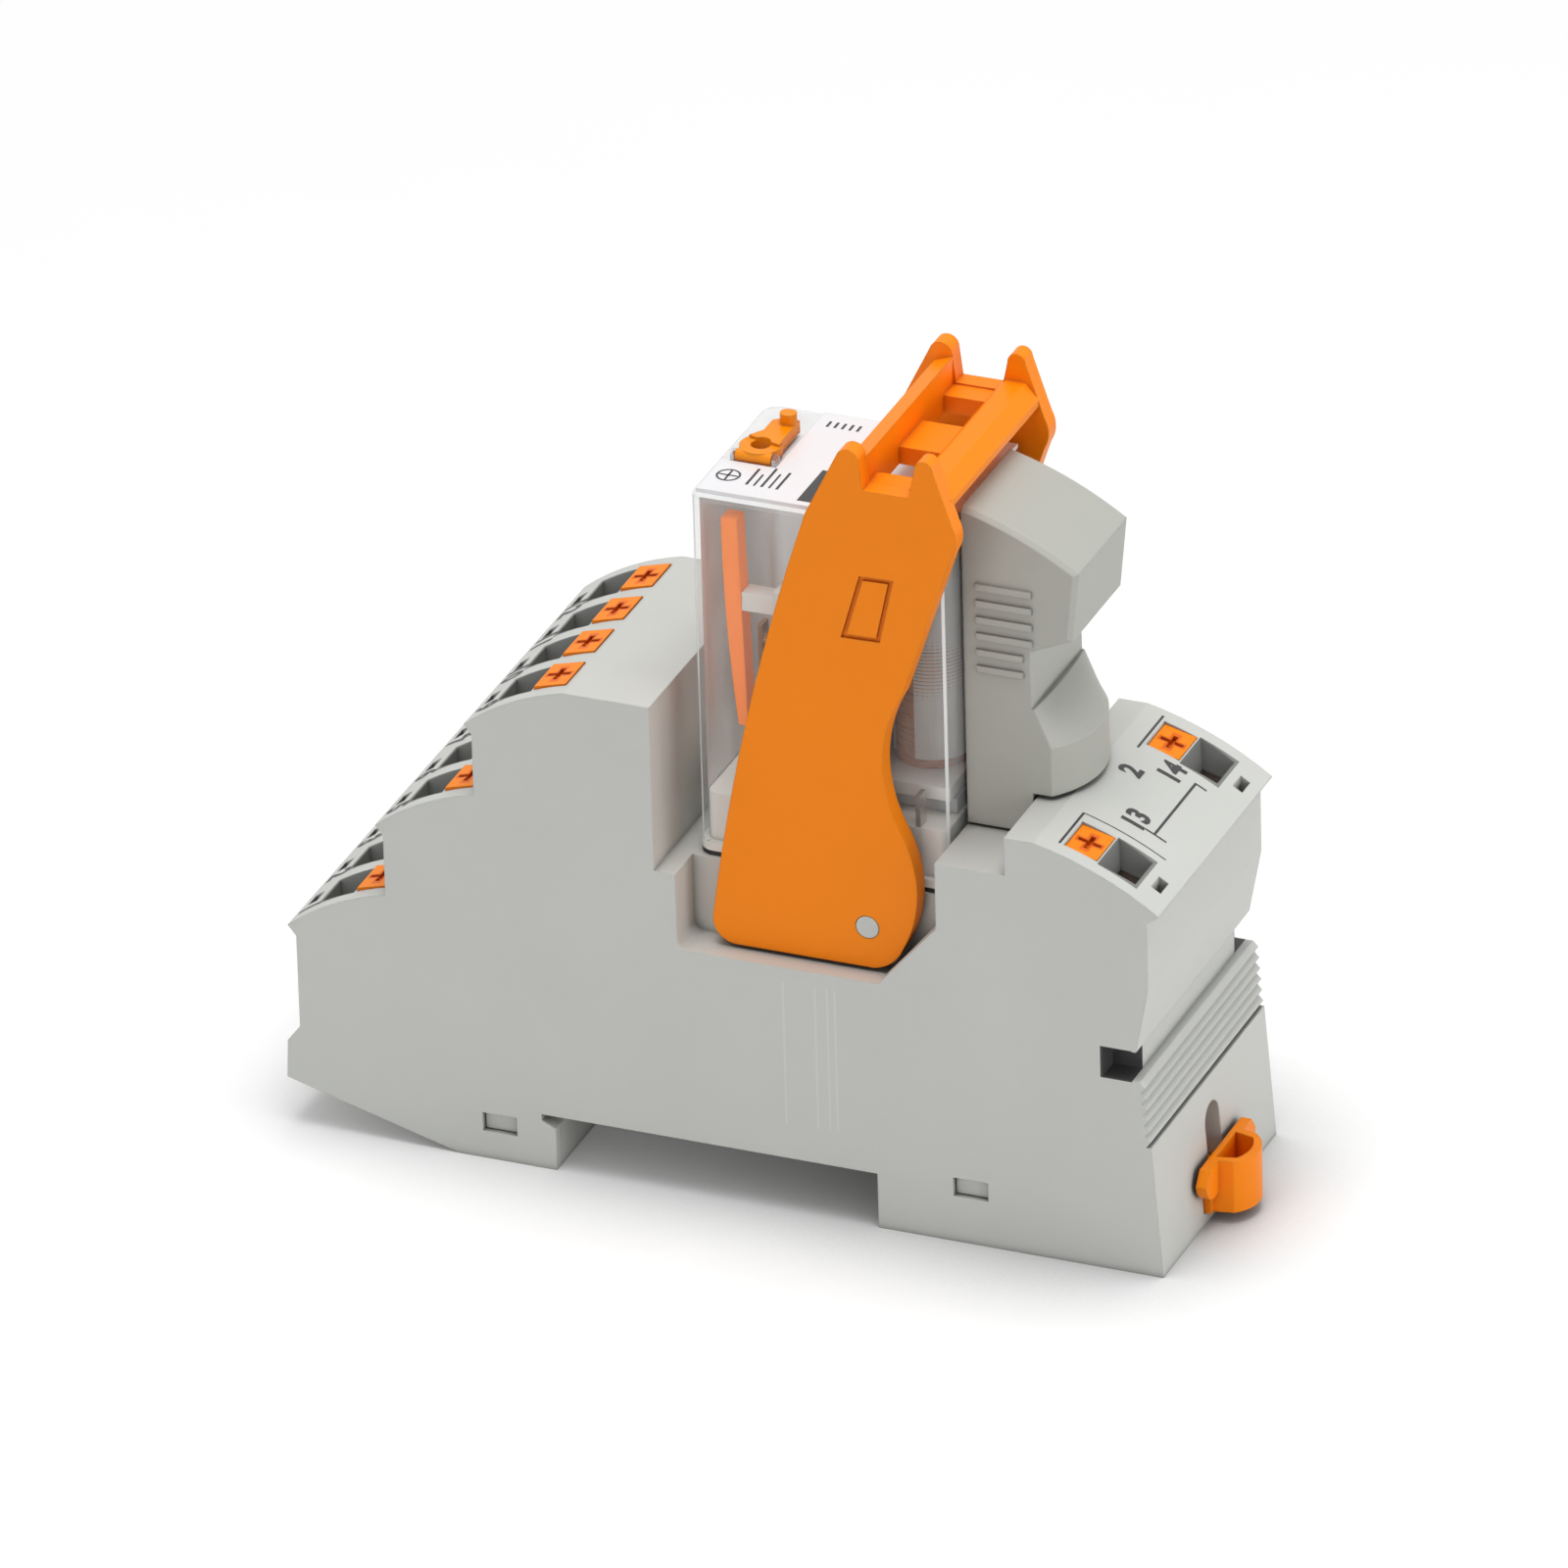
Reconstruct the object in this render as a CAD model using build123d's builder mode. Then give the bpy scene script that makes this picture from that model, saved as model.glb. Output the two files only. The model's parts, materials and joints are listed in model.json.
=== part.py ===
from build123d import *
import os
from math import cos, radians, sin

os.makedirs("parts", exist_ok=True)

# All sizes are in millimetres. X runs along the base, from the contact terminals to the coil
# terminals. Y runs across it, along the mounting rail. Z points up. The origin is the middle of
# the rail slot, at the height of the feet.

# Base housing
base_width = 31.0
side_wall = 1.3
chamber_wall = 1.2
left_end_x = -46.1
left_end_z = 5.3
left_heel_x = -27.5
left_waist_x = -44.5
left_waist_z = 11.2
right_end_x = 47.9

# Rail slot for a 35 mm rail: a fixed hook on the left, the sliding latch on the right
rail_width = 35.0
slot_play = 0.1
slot_right_x = rail_width / 2 + slot_play
slot_left_x = -(rail_width / 2 + 1.0)
slot_top_z = 6.1
hook_tip_x = -17.0
hook_top_z = 4.6
hook_chamfer = 0.8

# Three stepped tiers of contact terminals
tier_names = ("lower", "middle", "upper")
tier_run = 10.0
tier_rise = 13.1
first_tip_x = -45.4
first_tip_z = 22.7
tier_top_run = 10.8
tier_top_rise = 5.3
tier_arc_run = 4.9
tier_arc_rise = 3.2
tier_lip_drop = 1.1
tier_roof = 2.2
column_margin = 0.7
column_rib = 1.2

# Socket, bracket recess and module ledge
socket_left_x = -5.45
socket_right_x = 24.5
socket_top_z = 36.0
recess_left_x = -3.2
recess_floor_z = 27.6
recess_corner = 1.0
recess_depth = 4.6
recess_ramp_x = 18.2
recess_ramp_z = 34.9
ledge_z = 42.2
coil_block_x = 31.9
coil_block_z = 46.4
coil_block_flat = 3.1
coil_block_arc = (42.5, 43.8)
coil_lip_x = 48.1
coil_lip_z = 40.5
coil_face_x = 46.8
coil_face_z = 32.0
coil_face_toe = (45.4, 24.9)
end_groove_x = 44.9
end_groove_z = 21.6
end_pocket_x = 44.0
end_pocket_back_x = 41.8
end_pocket_y = 12.6
end_pocket_lip_y = 14.3
rib_block_x = 46.3
rib_count = 6
rib_pitch = 1.2
rib_depth = 0.55

# Push-in terminals, measured from the middle of the wire entry and from the tier's tip
wire_offset = 4.9
coil_wire_x = 42.9
coil_tip_z = 40.1
button_offset = 3.7
button_length = 3.4
button_width = 5.0
button_fit = 0.06
button_foot_length = 2.2
button_foot_z = -3.4
button_collar_z = -0.6
button_collar_top = 0.9
button_top_low = 4.45
button_top_high = 5.35
cross_length = 2.4
cross_width = 0.5
cross_depth = 0.5
funnel_shift = 0.25
funnel_top = (4.6, 6.6)
funnel_bottom = (2.4, 3.0)
funnel_top_z = 6.4
funnel_bottom_z = -1.2
test_slot_offset = 3.6
test_slot_size = (1.0, 2.2)
test_slot_floor = -0.5

# Stamped contact rails and clamp springs
rail_thickness = 0.8
rail_strip_width = 1.6
tab_offset = 2.0
tab_top_z = -1.6
tab_width = 4.6
run_z = -8.4
run_drop_offset = 5.9
rail_level_pitch = 4.2
coil_level = 16.0
spring_thickness = 0.4
spring_width = 4.4
spring_start = 0.6
spring_bend_x = 4.5
spring_bend_radius = 1.6
spring_bend_angle = 160.0
spring_leg = 6.2

# Relay pins and the forks that hold them
pin_margin = 1.65
pin_row_x = (11.0, 7.0, 3.0)
coil_pin_x = 20.5
pin_thickness = 0.5
pin_width = 1.6
pin_bottom_z = 30.6
pin_fit = 0.03
fork_bottom_z = 29.0
fork_top_z = 34.6
fork_length = 2.0
fork_room = 0.2
socket_roof = 1.0

# Bottom insert, snapped between the side walls
floor_left_x = -31.0
floor_right_x = 38.0
floor_top_z = 7.6
floor_fit = 0.05
snap_length = 3.7
snap_height = 2.1
left_snap = (-23.05, 4.1)
right_snap = (27.55, 6.15)
snap_fit = 0.1
snap_set_back = 0.6

# Rail latch
latch_half_width = 4.1
latch_bottom_z = 1.3
latch_height = 3.2
latch_fit = 0.1
latch_nose_x = 15.7
latch_nose_rise = 1.6
latch_window = (22.0, 30.5)
latch_eye_half = 3.6
latch_eye_side = 2.6
latch_eye_depth = 4.15
latch_eye_z = (1.3, 7.1)
latch_eye_wall = 0.9
latch_eye_floor = 1.4
latch_ear_half = 6.8
latch_ear_z = (3.6, 7.1)
latch_ear_thick = 1.1
latch_gap = 0.1
latch_view_half = 1.9
latch_view_top = 11.6
spring_peg_x = 29.5
spring_peg_length = 1.0

# Relay
relay_left_x = -2.8
relay_right_x = 24.3
relay_side_gap = 0.4
relay_base_top = 37.4
relay_top_z = 75.6
relay_corner = 1.6
cover_wall = 0.7
plinth_height = 5.2
plinth_fit = 0.1
label_thickness = 0.4
label_front_margin = 1.3
label_margin = 0.4

# Test lever on top of the relay
lever_mid_x = 0.9
lever_pivot_y = -1.9
lever_barrel = 0.65
lever_gap = 0.15
lever_drop = 0.35
ring_y = -0.3
ring_radius = 2.15
ring_hole = 1.0
ring_thickness = 1.0
lever_x = (0.2, 2.8)
lever_neck_y = 2.2
lever_end_y = 5.2
lever_thickness = 1.3
knob_place = (1.95, 4.35)
knob_size = (1.7, 1.5)
knob_height = 2.45
lever_pin = 0.3
lever_pin_fit = 0.05
ear_gap = 0.1
ear_width = 0.4
ear_inner = 2.0
ear_half = 0.6
notch_margin = 0.1

# Contact set and magnet system of the relay
blade_jog_z = 47.0
blade_top_z = 62.2
no_blade_x = 4.2
nc_blade_x = 9.1
rivet_z = 60.4
rivet_radius = 0.8
rivet_height = 0.75
moving_rivet_height = 0.85
moving_thickness = 0.3
moving_foot_z = 44.4
common_pin_top = 44.2
carrier_z = (62.8, 66.0)
carrier_end_gap = 0.4
carrier_thickness = 2.8
pusher_half = 1.5
pusher_bottom_z = 60.8
pusher_gap = 0.15
indicator_side_gap = 0.5
indicator_length = 2.0
indicator_width = 1.7
indicator_foot = (1.5, 50.5)
indicator_knee = (0.5, 62.0)
indicator_head = (0.2, 73.2)
yoke_x = 12.2
yoke_thickness = 1.6
yoke_half_width = 6.0
yoke_floor_z = 42.8
yoke_top_z = 71.2
yoke_right_x = 23.2
coil_x = 18.4
bobbin_half = (4.4, 7.0)
bobbin_flange = 1.4
bobbin_gap = 0.1
bobbin_tube = 2.9
winding_radius = 4.1
core_radius = 2.3
core_fit = 0.05
pole_radius = 3.4
pole_thickness = 0.8
armature_gap = 0.75
armature_play = 0.15
armature_thickness = 1.2
armature_half_width = 5.4
armature_right_x = 21.4
armature_leg_x = 10.6
armature_leg_z = 60.5
armature_leg_half = 3.0

# Retaining bracket
pivot_x = 16.3
pivot_z = 32.5
pivot_radius = 1.2
pivot_fit = 0.06
arm_gap = 0.4
arm_thickness = 2.0
arm_corner = 2.5
arm_rise = 9.6
ladder_rise = 8.2
rung_rise = 5.2
rung_height = 1.9
lug_drop = 0.8
ladder_left_x = 14.8
ladder_rail = 1.9
ladder_right_x = 21.2
rung_edges = (-8.7, -3.0, 3.0, 8.7)
rung_join = 0.4
lug_x = (23.0, 24.4)
lug_width = 3.6
lug_height = 1.2
frame_field = ((16.4, 71.5), (20.0, 71.6), (18.4, 64.5), (14.3, 64.4))
field_groove = 0.45
field_depth = 0.3

# Plug-in module
module_half_width = 6.8
module_left_x = 24.6
module_bottom_z = 42.5
module_neck_x = 31.6
module_edge = 0.5
thumb_z = (46.9, 52.2, 56.2)
thumb_side_reach = 2.0
thumb_front_reach = 4.7
thumb_root = 0.5
thumb_shrink = 0.12
grip_count = 6
grip_pitch = 1.8
grip_top_z = 68.9
grip_x = (26.0, 31.9)
grip_short = 1.0
grip_height = 0.7
grip_proud = 0.3
module_wall = 1.3
board_thickness = 1.2
board_gap = 0.3
board_top_z = 70.0
diode_z = 55.0
diode_size = (2.6, 1.6, 4.6)
module_pin_x = (26.6, 28.6)
module_pin_size = (0.8, 0.6)
module_pin_bottom = 37.0
module_pin_top = 50.0

# Places that follow from the sizes above
half_base = base_width / 2
column_pitch = (base_width - 2 * column_margin) / 4
column_y = [(column - 1.5) * column_pitch for column in range(4)]
chamber_width = column_pitch - column_rib
tier_lip = tier_top_run - tier_run
tier_top_z = first_tip_z + 2 * tier_rise + tier_top_rise
socket_half = half_base - recess_depth
relay_half_width = socket_half - relay_side_gap
pin_pitch_y = (relay_half_width - pin_margin) / 1.5
pin_y = [(column - 1.5) * pin_pitch_y for column in range(4)]
label_front_y = label_front_margin - relay_half_width
carrier_half_length = relay_half_width - cover_wall - carrier_end_gap
indicator_front_y = indicator_side_gap + cover_wall - relay_half_width
indicator_y = (indicator_front_y, indicator_front_y + indicator_length)
arm_inner_y = socket_half + arm_gap
arm_outer_y = arm_inner_y + arm_thickness
arm_top_z = relay_top_z + arm_rise
ladder_left_top = relay_top_z + ladder_rise
rung_top_z = relay_top_z + rung_rise
rung_bottom_z = rung_top_z - rung_height
lug_bottom_z = rung_bottom_z - lug_drop
lever_pivot_z = relay_top_z + lever_gap + lever_barrel


def tier_tip(tier):
    """Front tip of a tier's top, as X and Z."""
    return first_tip_x + tier * tier_run, first_tip_z + tier * tier_rise


def face_outline(points, y):
    """Closed outline in X and Z, at one place along Y."""
    with BuildSketch(Plane.XZ.offset(-y)) as profile:
        with BuildLine():
            Polyline(*points, close=True)
        make_face()
    return profile.sketch


def strip_outline(points, thickness, y):
    """Flat strip bent at right angles along a path in X and Z."""
    with BuildSketch(Plane.XZ.offset(-y)) as profile:
        for (x0, z0), (x1, z1) in zip(points, points[1:]):
            with Locations(((x0 + x1) / 2, (z0 + z1) / 2)):
                Rectangle(abs(x1 - x0) + thickness, abs(z1 - z0) + thickness)
    return profile.sketch


def finish(builder, name):
    """Name a finished piece and write its STEP file."""
    builder.part.label = name
    export_step(builder.part, f"parts/{name}.step")


# Every terminal: name, X of the wire entry, height of the tip, side of the button, Y
terminals = []
for tier, tier_name in enumerate(tier_names):
    tip_x, tip_z = tier_tip(tier)
    for number, y in enumerate(column_y, start=1):
        terminals.append((f"{tier_name}_{number}", tip_x + wire_offset, tip_z, 1, y))
for number, y in enumerate((column_y[0], column_y[3]), start=1):
    terminals.append((f"coil_{number}", coil_wire_x, coil_tip_z, -1, y))


# Base housing: one moulding with chambers that open downwards into the bottom insert
def base_outline():
    """Side outline of the housing, with the rail slot in its underside."""
    with BuildSketch(Plane.XZ.offset(-half_base)) as profile:
        with BuildLine():
            Polyline(
                (hook_tip_x, 0),
                (left_heel_x, 0),
                (left_end_x, left_end_z),
                (left_end_x + 0.2, left_waist_z - 1.7),
                (left_waist_x, left_waist_z),
                (left_waist_x, first_tip_z - tier_lip_drop),
                (first_tip_x, first_tip_z),
            )
            for tier in range(3):
                tip_x, tip_z = tier_tip(tier)
                wall_x = tip_x + tier_top_run
                wall_z = tip_z + tier_top_rise
                ThreePointArc(
                    (tip_x, tip_z),
                    (tip_x + tier_arc_run, tip_z + tier_arc_rise),
                    (wall_x, wall_z),
                )
                if tier < 2:
                    next_tip = tier_tip(tier + 1)
                    Polyline((wall_x, wall_z), (wall_x, next_tip[1] - tier_lip_drop), next_tip)
            Polyline(
                (wall_x, tier_top_z),
                (socket_left_x, tier_top_z),
                (socket_left_x, socket_top_z),
                (socket_right_x, socket_top_z),
                (socket_right_x, ledge_z),
                (coil_block_x, ledge_z),
                (coil_block_x, coil_block_z),
                (coil_block_x + coil_block_flat, coil_block_z),
            )
            ThreePointArc(
                (coil_block_x + coil_block_flat, coil_block_z),
                coil_block_arc,
                (coil_lip_x, coil_lip_z),
            )
            Polyline(
                (coil_lip_x, coil_lip_z),
                (coil_face_x, coil_lip_z - 1.0),
                (coil_face_x, coil_face_z),
                coil_face_toe,
                (end_groove_x, coil_face_toe[1]),
                (end_groove_x, end_groove_z),
                (rib_block_x - rib_depth, end_groove_z),
            )
            rib_z = end_groove_z
            rib_lean = (right_end_x - rib_block_x) / end_groove_z
            for _ in range(rib_count):
                outer_x = right_end_x - rib_z * rib_lean
                Polyline(
                    (outer_x - rib_depth, rib_z),
                    (outer_x, rib_z - rib_pitch / 2),
                    (right_end_x - (rib_z - rib_pitch) * rib_lean - rib_depth, rib_z - rib_pitch),
                )
                rib_z -= rib_pitch
            Polyline(
                (right_end_x - rib_z * rib_lean - rib_depth, rib_z),
                (right_end_x - rib_z * rib_lean, rib_z),
                (right_end_x, 0),
                (slot_right_x, 0),
                (slot_right_x, slot_top_z),
                (slot_left_x, slot_top_z),
                (slot_left_x, hook_top_z + hook_chamfer),
                (hook_tip_x, hook_top_z),
                (hook_tip_x, 0),
            )
        make_face()
    return profile.sketch


def recess_outline(y):
    """Outline of the open recess in which a bracket arm swings."""
    with BuildSketch(Plane.XZ.offset(-y)) as profile:
        with BuildLine():
            Polyline(
                (recess_left_x, socket_top_z + 1),
                (recess_left_x, recess_floor_z),
                (recess_ramp_x, recess_floor_z),
                (socket_right_x, recess_ramp_z),
                (socket_right_x, socket_top_z + 1),
                close=True,
            )
        make_face()
        corner = profile.vertices().group_by(Axis.X)[0].sort_by(Axis.Y)[0]
        fillet(corner, radius=recess_corner)
    return profile.sketch


def contact_chamber_points():
    """Stepped chamber under the tiers of one column, open to the bottom insert."""
    inner_left_x = left_waist_x + chamber_wall
    points = [(floor_left_x, floor_top_z), (inner_left_x, floor_top_z + 1.0)]
    for tier in range(3):
        tip_x, tip_z = tier_tip(tier)
        points.append((tip_x + tier_lip + chamber_wall, tip_z + tier_arc_rise - tier_roof - 1.9))
        points.append((tip_x + tier_top_run + chamber_wall, tip_z + tier_top_rise - tier_roof))
    points[2] = (inner_left_x, points[2][1])
    points.append((socket_left_x - chamber_wall, tier_top_z - tier_roof))
    points.append((socket_left_x - chamber_wall, recess_floor_z - chamber_wall))
    points.append((pin_row_x[0] + fork_length, recess_floor_z - chamber_wall))
    points.append((pin_row_x[0] + fork_length, floor_top_z))
    return points


def coil_chamber_points():
    """Chamber from a coil terminal down and back to its fork."""
    drop_x = coil_wire_x - run_drop_offset - rail_thickness
    inner_right_x = coil_wire_x + tab_offset + rail_thickness / 2 + 0.05
    return [
        (pin_row_x[0] + fork_length + chamber_wall, floor_top_z),
        (floor_right_x - 0.1, floor_top_z),
        (floor_right_x - 0.1, coil_tip_z + run_z - 2.7),
        (inner_right_x, coil_tip_z + run_z - 2.7),
        (inner_right_x, coil_tip_z + 0.1),
        (drop_x, coil_tip_z + 2.7),
        (drop_x, coil_level + 4.0),
        (pin_row_x[0] + fork_length + chamber_wall, coil_level + 4.0),
    ]


def floor_points(clearance):
    """Side outline of the bottom insert, grown into its seat by a clearance."""
    belly_slope = left_end_z / (left_heel_x - left_end_x)
    left_x = floor_left_x - clearance
    return [
        (left_x, (left_heel_x - left_x) * belly_slope),
        (left_heel_x, 0),
        (hook_tip_x, 0),
        (hook_tip_x, hook_top_z),
        (slot_left_x, hook_top_z + hook_chamfer),
        (slot_left_x, slot_top_z),
        (slot_right_x, slot_top_z),
        (slot_right_x, 0),
        (floor_right_x + clearance, 0),
        (floor_right_x + clearance, floor_top_z),
        (left_x, floor_top_z),
    ]


snap_places = (left_snap, right_snap)
fork_places = []
for row_x in pin_row_x:
    for y in pin_y:
        fork_places.append((row_x, y))
for y in (pin_y[0], pin_y[3]):
    fork_places.append((coil_pin_x, y))

with BuildPart() as base_housing:
    extrude(base_outline(), amount=base_width)
    for y in (half_base, -half_base + recess_depth):
        extrude(recess_outline(y), amount=recess_depth, mode=Mode.SUBTRACT)
    for y in column_y:
        chamber = face_outline(contact_chamber_points(), y + chamber_width / 2)
        extrude(chamber, amount=chamber_width, mode=Mode.SUBTRACT)
    for y in (column_y[0], column_y[3]):
        chamber = face_outline(coil_chamber_points(), y + chamber_width / 2)
        extrude(chamber, amount=chamber_width, mode=Mode.SUBTRACT)
    seat = face_outline(floor_points(floor_fit), half_base - side_wall)
    extrude(seat, amount=base_width - 2 * side_wall, mode=Mode.SUBTRACT)
    # Snap windows through both side walls
    for x, z in snap_places:
        with Locations((x, 0, z)):
            Box(snap_length, base_width + 1, snap_height, mode=Mode.SUBTRACT)
    # Wire funnels, button shafts and test slots
    for name, wire_x, tip_z, side, y in terminals:
        with BuildSketch(Plane.XY.offset(tip_z + funnel_bottom_z)):
            with Locations((wire_x - side * funnel_shift, y)):
                Rectangle(*funnel_bottom)
        with BuildSketch(Plane.XY.offset(tip_z + funnel_top_z)):
            with Locations((wire_x - side * funnel_shift, y)):
                Rectangle(*funnel_top)
        loft(mode=Mode.SUBTRACT)
    for name, wire_x, tip_z, side, y in terminals:
        with BuildSketch(Plane.XY.offset(tip_z + button_collar_top)):
            with Locations((wire_x + side * button_offset, y)):
                Rectangle(button_length + 2 * button_fit, button_width + 2 * button_fit)
        extrude(amount=funnel_top_z, mode=Mode.SUBTRACT)
        with BuildSketch(Plane.XY.offset(tip_z + test_slot_floor)):
            with Locations((wire_x - side * test_slot_offset, y)):
                Rectangle(*test_slot_size)
        extrude(amount=funnel_top_z, mode=Mode.SUBTRACT)
    # Pockets for the forks, with a narrow slot for each pin above them
    with BuildSketch(Plane.XY.offset(coil_level + 3.0)):
        with Locations(*fork_places[-2:]):
            Rectangle(fork_length + 2 * fork_room, rail_strip_width + fork_room)
    extrude(amount=socket_top_z - socket_roof - coil_level - 3.0, mode=Mode.SUBTRACT)
    with BuildSketch(Plane.XY.offset(recess_floor_z - chamber_wall - 1.0)):
        with Locations(*fork_places[:-2]):
            Rectangle(fork_length + 2 * fork_room, rail_strip_width + fork_room)
    extrude(
        amount=socket_top_z - socket_roof - recess_floor_z + chamber_wall + 1.0,
        mode=Mode.SUBTRACT,
    )
    with BuildSketch(Plane.XY.offset(fork_top_z)):
        with Locations(*fork_places):
            Rectangle(pin_thickness + 2 * fork_room, pin_width + fork_room)
    extrude(amount=socket_top_z + 1 - fork_top_z, mode=Mode.SUBTRACT)
    # Holes in the ledge for the pins of the module
    with BuildSketch(Plane.XY.offset(module_pin_bottom - 0.5)):
        with Locations(*[(x, 0) for x in module_pin_x]):
            Rectangle(module_pin_size[0] + 0.2, module_pin_size[1] + 0.2)
    extrude(amount=ledge_z + 1 - module_pin_bottom, mode=Mode.SUBTRACT)
    # Channel of the rail latch through the end wall, and the wedge slot above it
    with Locations((right_end_x - 8, 0, latch_bottom_z - latch_fit)):
        Box(
            20,
            2 * (latch_half_width + latch_fit),
            latch_height + 2 * latch_fit,
            align=(Align.CENTER, Align.CENTER, Align.MIN),
            mode=Mode.SUBTRACT,
        )
    with BuildSketch(Plane.YZ.offset(right_end_x + 1)):
        with BuildLine():
            shoulder_z = latch_view_top - latch_view_half
            Polyline(
                (-latch_view_half, shoulder_z),
                (-latch_view_half, latch_bottom_z),
                (latch_view_half, latch_bottom_z),
                (latch_view_half, shoulder_z),
            )
            ThreePointArc(
                (latch_view_half, shoulder_z),
                (0, latch_view_top),
                (-latch_view_half, shoulder_z),
            )
        make_face()
    extrude(amount=-6, mode=Mode.SUBTRACT)
    # Pockets at both ends of the groove above the ribs
    for side in (-1, 1):
        for inner_x, outer_y in ((end_pocket_x, half_base), (end_pocket_back_x, end_pocket_lip_y)):
            with Locations((inner_x, side * outer_y, end_groove_z)):
                Box(
                    rib_block_x - inner_x,
                    2 * (outer_y - end_pocket_y),
                    coil_face_toe[1] - end_groove_z,
                    align=(Align.MIN, Align.CENTER, Align.MIN),
                    mode=Mode.SUBTRACT,
                )
    # Pivot stubs of the retaining bracket
    for y in (-socket_half, arm_outer_y):
        with BuildSketch(Plane.XZ.offset(-y)):
            with Locations((pivot_x, pivot_z)):
                Circle(pivot_radius)
        extrude(amount=arm_outer_y - socket_half)
finish(base_housing, "base_housing")


# Bottom insert with the rail hook, the latch channel and four snap noses
with BuildPart() as base_floor:
    floor_half = half_base - side_wall - floor_fit
    extrude(face_outline(floor_points(0), floor_half), amount=2 * floor_half)
    for x, z in snap_places:
        with Locations((x, 0, z)):
            Box(
                snap_length - 2 * snap_fit,
                base_width - 2 * snap_set_back,
                snap_height - 2 * snap_fit,
            )
    with Locations((slot_right_x - 1, 0, latch_bottom_z - latch_fit)):
        Box(
            floor_right_x - slot_right_x + 3,
            2 * (latch_half_width + latch_fit),
            latch_height + 2 * latch_fit,
            align=(Align.MIN, Align.CENTER, Align.MIN),
            mode=Mode.SUBTRACT,
        )
    # Peg on which the latch spring pushes
    with Locations((spring_peg_x, 0, latch_bottom_z - latch_fit)):
        Box(
            spring_peg_length,
            3.0,
            latch_height + 2 * latch_fit,
            align=(Align.CENTER, Align.CENTER, Align.MIN),
        )
finish(base_floor, "base_floor")


# Rail latch: a flat slide with a wedge nose, and an eye for a screwdriver outside the end wall
latch_top_z = latch_bottom_z + latch_height
latch_head_x = right_end_x + latch_gap


def eye_outline(inset, z):
    """Plan of the latch's eye, drawn in by an inset."""
    half = latch_eye_half - inset
    left_x = latch_head_x + min(inset, 0.6)
    shoulder = (latch_head_x + latch_eye_side, half - 0.5)
    with BuildSketch(Plane.XY.offset(z)) as plan:
        with BuildLine():
            ThreePointArc(
                (shoulder[0], -shoulder[1]),
                (latch_head_x + latch_eye_depth - inset, 0),
                shoulder,
            )
            Polyline(
                shoulder,
                (left_x, half),
                (left_x, -half),
                (shoulder[0], -shoulder[1]),
            )
        make_face()
    return plan.sketch


with BuildPart() as rail_latch:
    with BuildSketch(Plane.XZ.offset(-latch_half_width)):
        with BuildLine():
            Polyline(
                (latch_nose_x, latch_top_z - 0.6),
                (latch_nose_x + latch_nose_rise, latch_bottom_z),
                (latch_head_x + 0.5, latch_bottom_z),
                (latch_head_x + 0.5, latch_top_z),
                (latch_nose_x, latch_top_z),
                close=True,
            )
        make_face()
    extrude(amount=2 * latch_half_width)
    with Locations(((latch_window[0] + latch_window[1]) / 2, 0, latch_bottom_z)):
        Box(
            latch_window[1] - latch_window[0],
            2 * (latch_half_width - 1.4),
            latch_height,
            align=(Align.CENTER, Align.CENTER, Align.MIN),
            mode=Mode.SUBTRACT,
        )
    # The eye is a round-nosed cup, open upwards
    cup_height = latch_eye_z[1] - latch_eye_z[0]
    extrude(eye_outline(0, latch_eye_z[0]), amount=cup_height)
    hollow = eye_outline(latch_eye_wall, latch_eye_z[0] + latch_eye_floor)
    # Two round ears beside the cup keep it from sliding into the end wall
    with BuildSketch(Plane.YZ.offset(latch_head_x)):
        for side in (-1, 1):
            with BuildLine():
                ThreePointArc(
                    (side * latch_eye_half, latch_ear_z[0]),
                    (side * (latch_ear_half - 0.4), latch_ear_z[0] + 1.0),
                    (side * latch_ear_half, latch_ear_z[1] - 1.4),
                )
                Polyline(
                    (side * latch_ear_half, latch_ear_z[1] - 1.4),
                    (side * (latch_ear_half - 1.1), latch_ear_z[1]),
                    (0, latch_ear_z[1]),
                    (0, latch_ear_z[0]),
                    (side * latch_eye_half, latch_ear_z[0]),
                )
            make_face()
    extrude(amount=latch_ear_thick)
    extrude(hollow, amount=cup_height, mode=Mode.SUBTRACT)
finish(rail_latch, "rail_latch")


# Zigzag steel spring between the inner end of the latch's window and the peg of the insert
with BuildPart() as latch_spring:
    spring_left = latch_window[0]
    spring_right = spring_peg_x - spring_peg_length / 2
    fold_pitch = (spring_right - spring_left) / 4
    fold_half = 1.9
    with BuildSketch(Plane.XY.offset(latch_bottom_z + 0.6)):
        for fold in range(5):
            x = spring_left + 0.2 + fold * (spring_right - spring_left - 0.4) / 4
            with Locations((x, 0)):
                Rectangle(0.4, 2 * fold_half)
        for fold in range(4):
            x = spring_left + 0.2 + (fold + 0.5) * (spring_right - spring_left - 0.4) / 4
            y = fold_half - 0.2 if fold % 2 else -fold_half + 0.2
            with Locations((x, y)):
                Rectangle(fold_pitch, 0.4)
    extrude(amount=2.0)
finish(latch_spring, "latch_spring")


# Stamped contact rails: a clamp tab, a bent strip and a fork for the relay's pin
def rail_path(wire_x, tip_z, side, level, fork_x):
    """Path of a contact rail from the top of its clamp tab to the root of its fork."""
    tab_x = wire_x - side * tab_offset
    drop_x = wire_x + side * run_drop_offset
    run_level = tip_z + run_z
    path = [(tab_x, tip_z + tab_top_z - rail_thickness / 2), (tab_x, run_level)]
    if run_level > level:
        path.append((drop_x, run_level))
        path.append((drop_x, level))
    path.append((fork_x, level))
    path.append((fork_x, fork_bottom_z))
    return path


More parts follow.
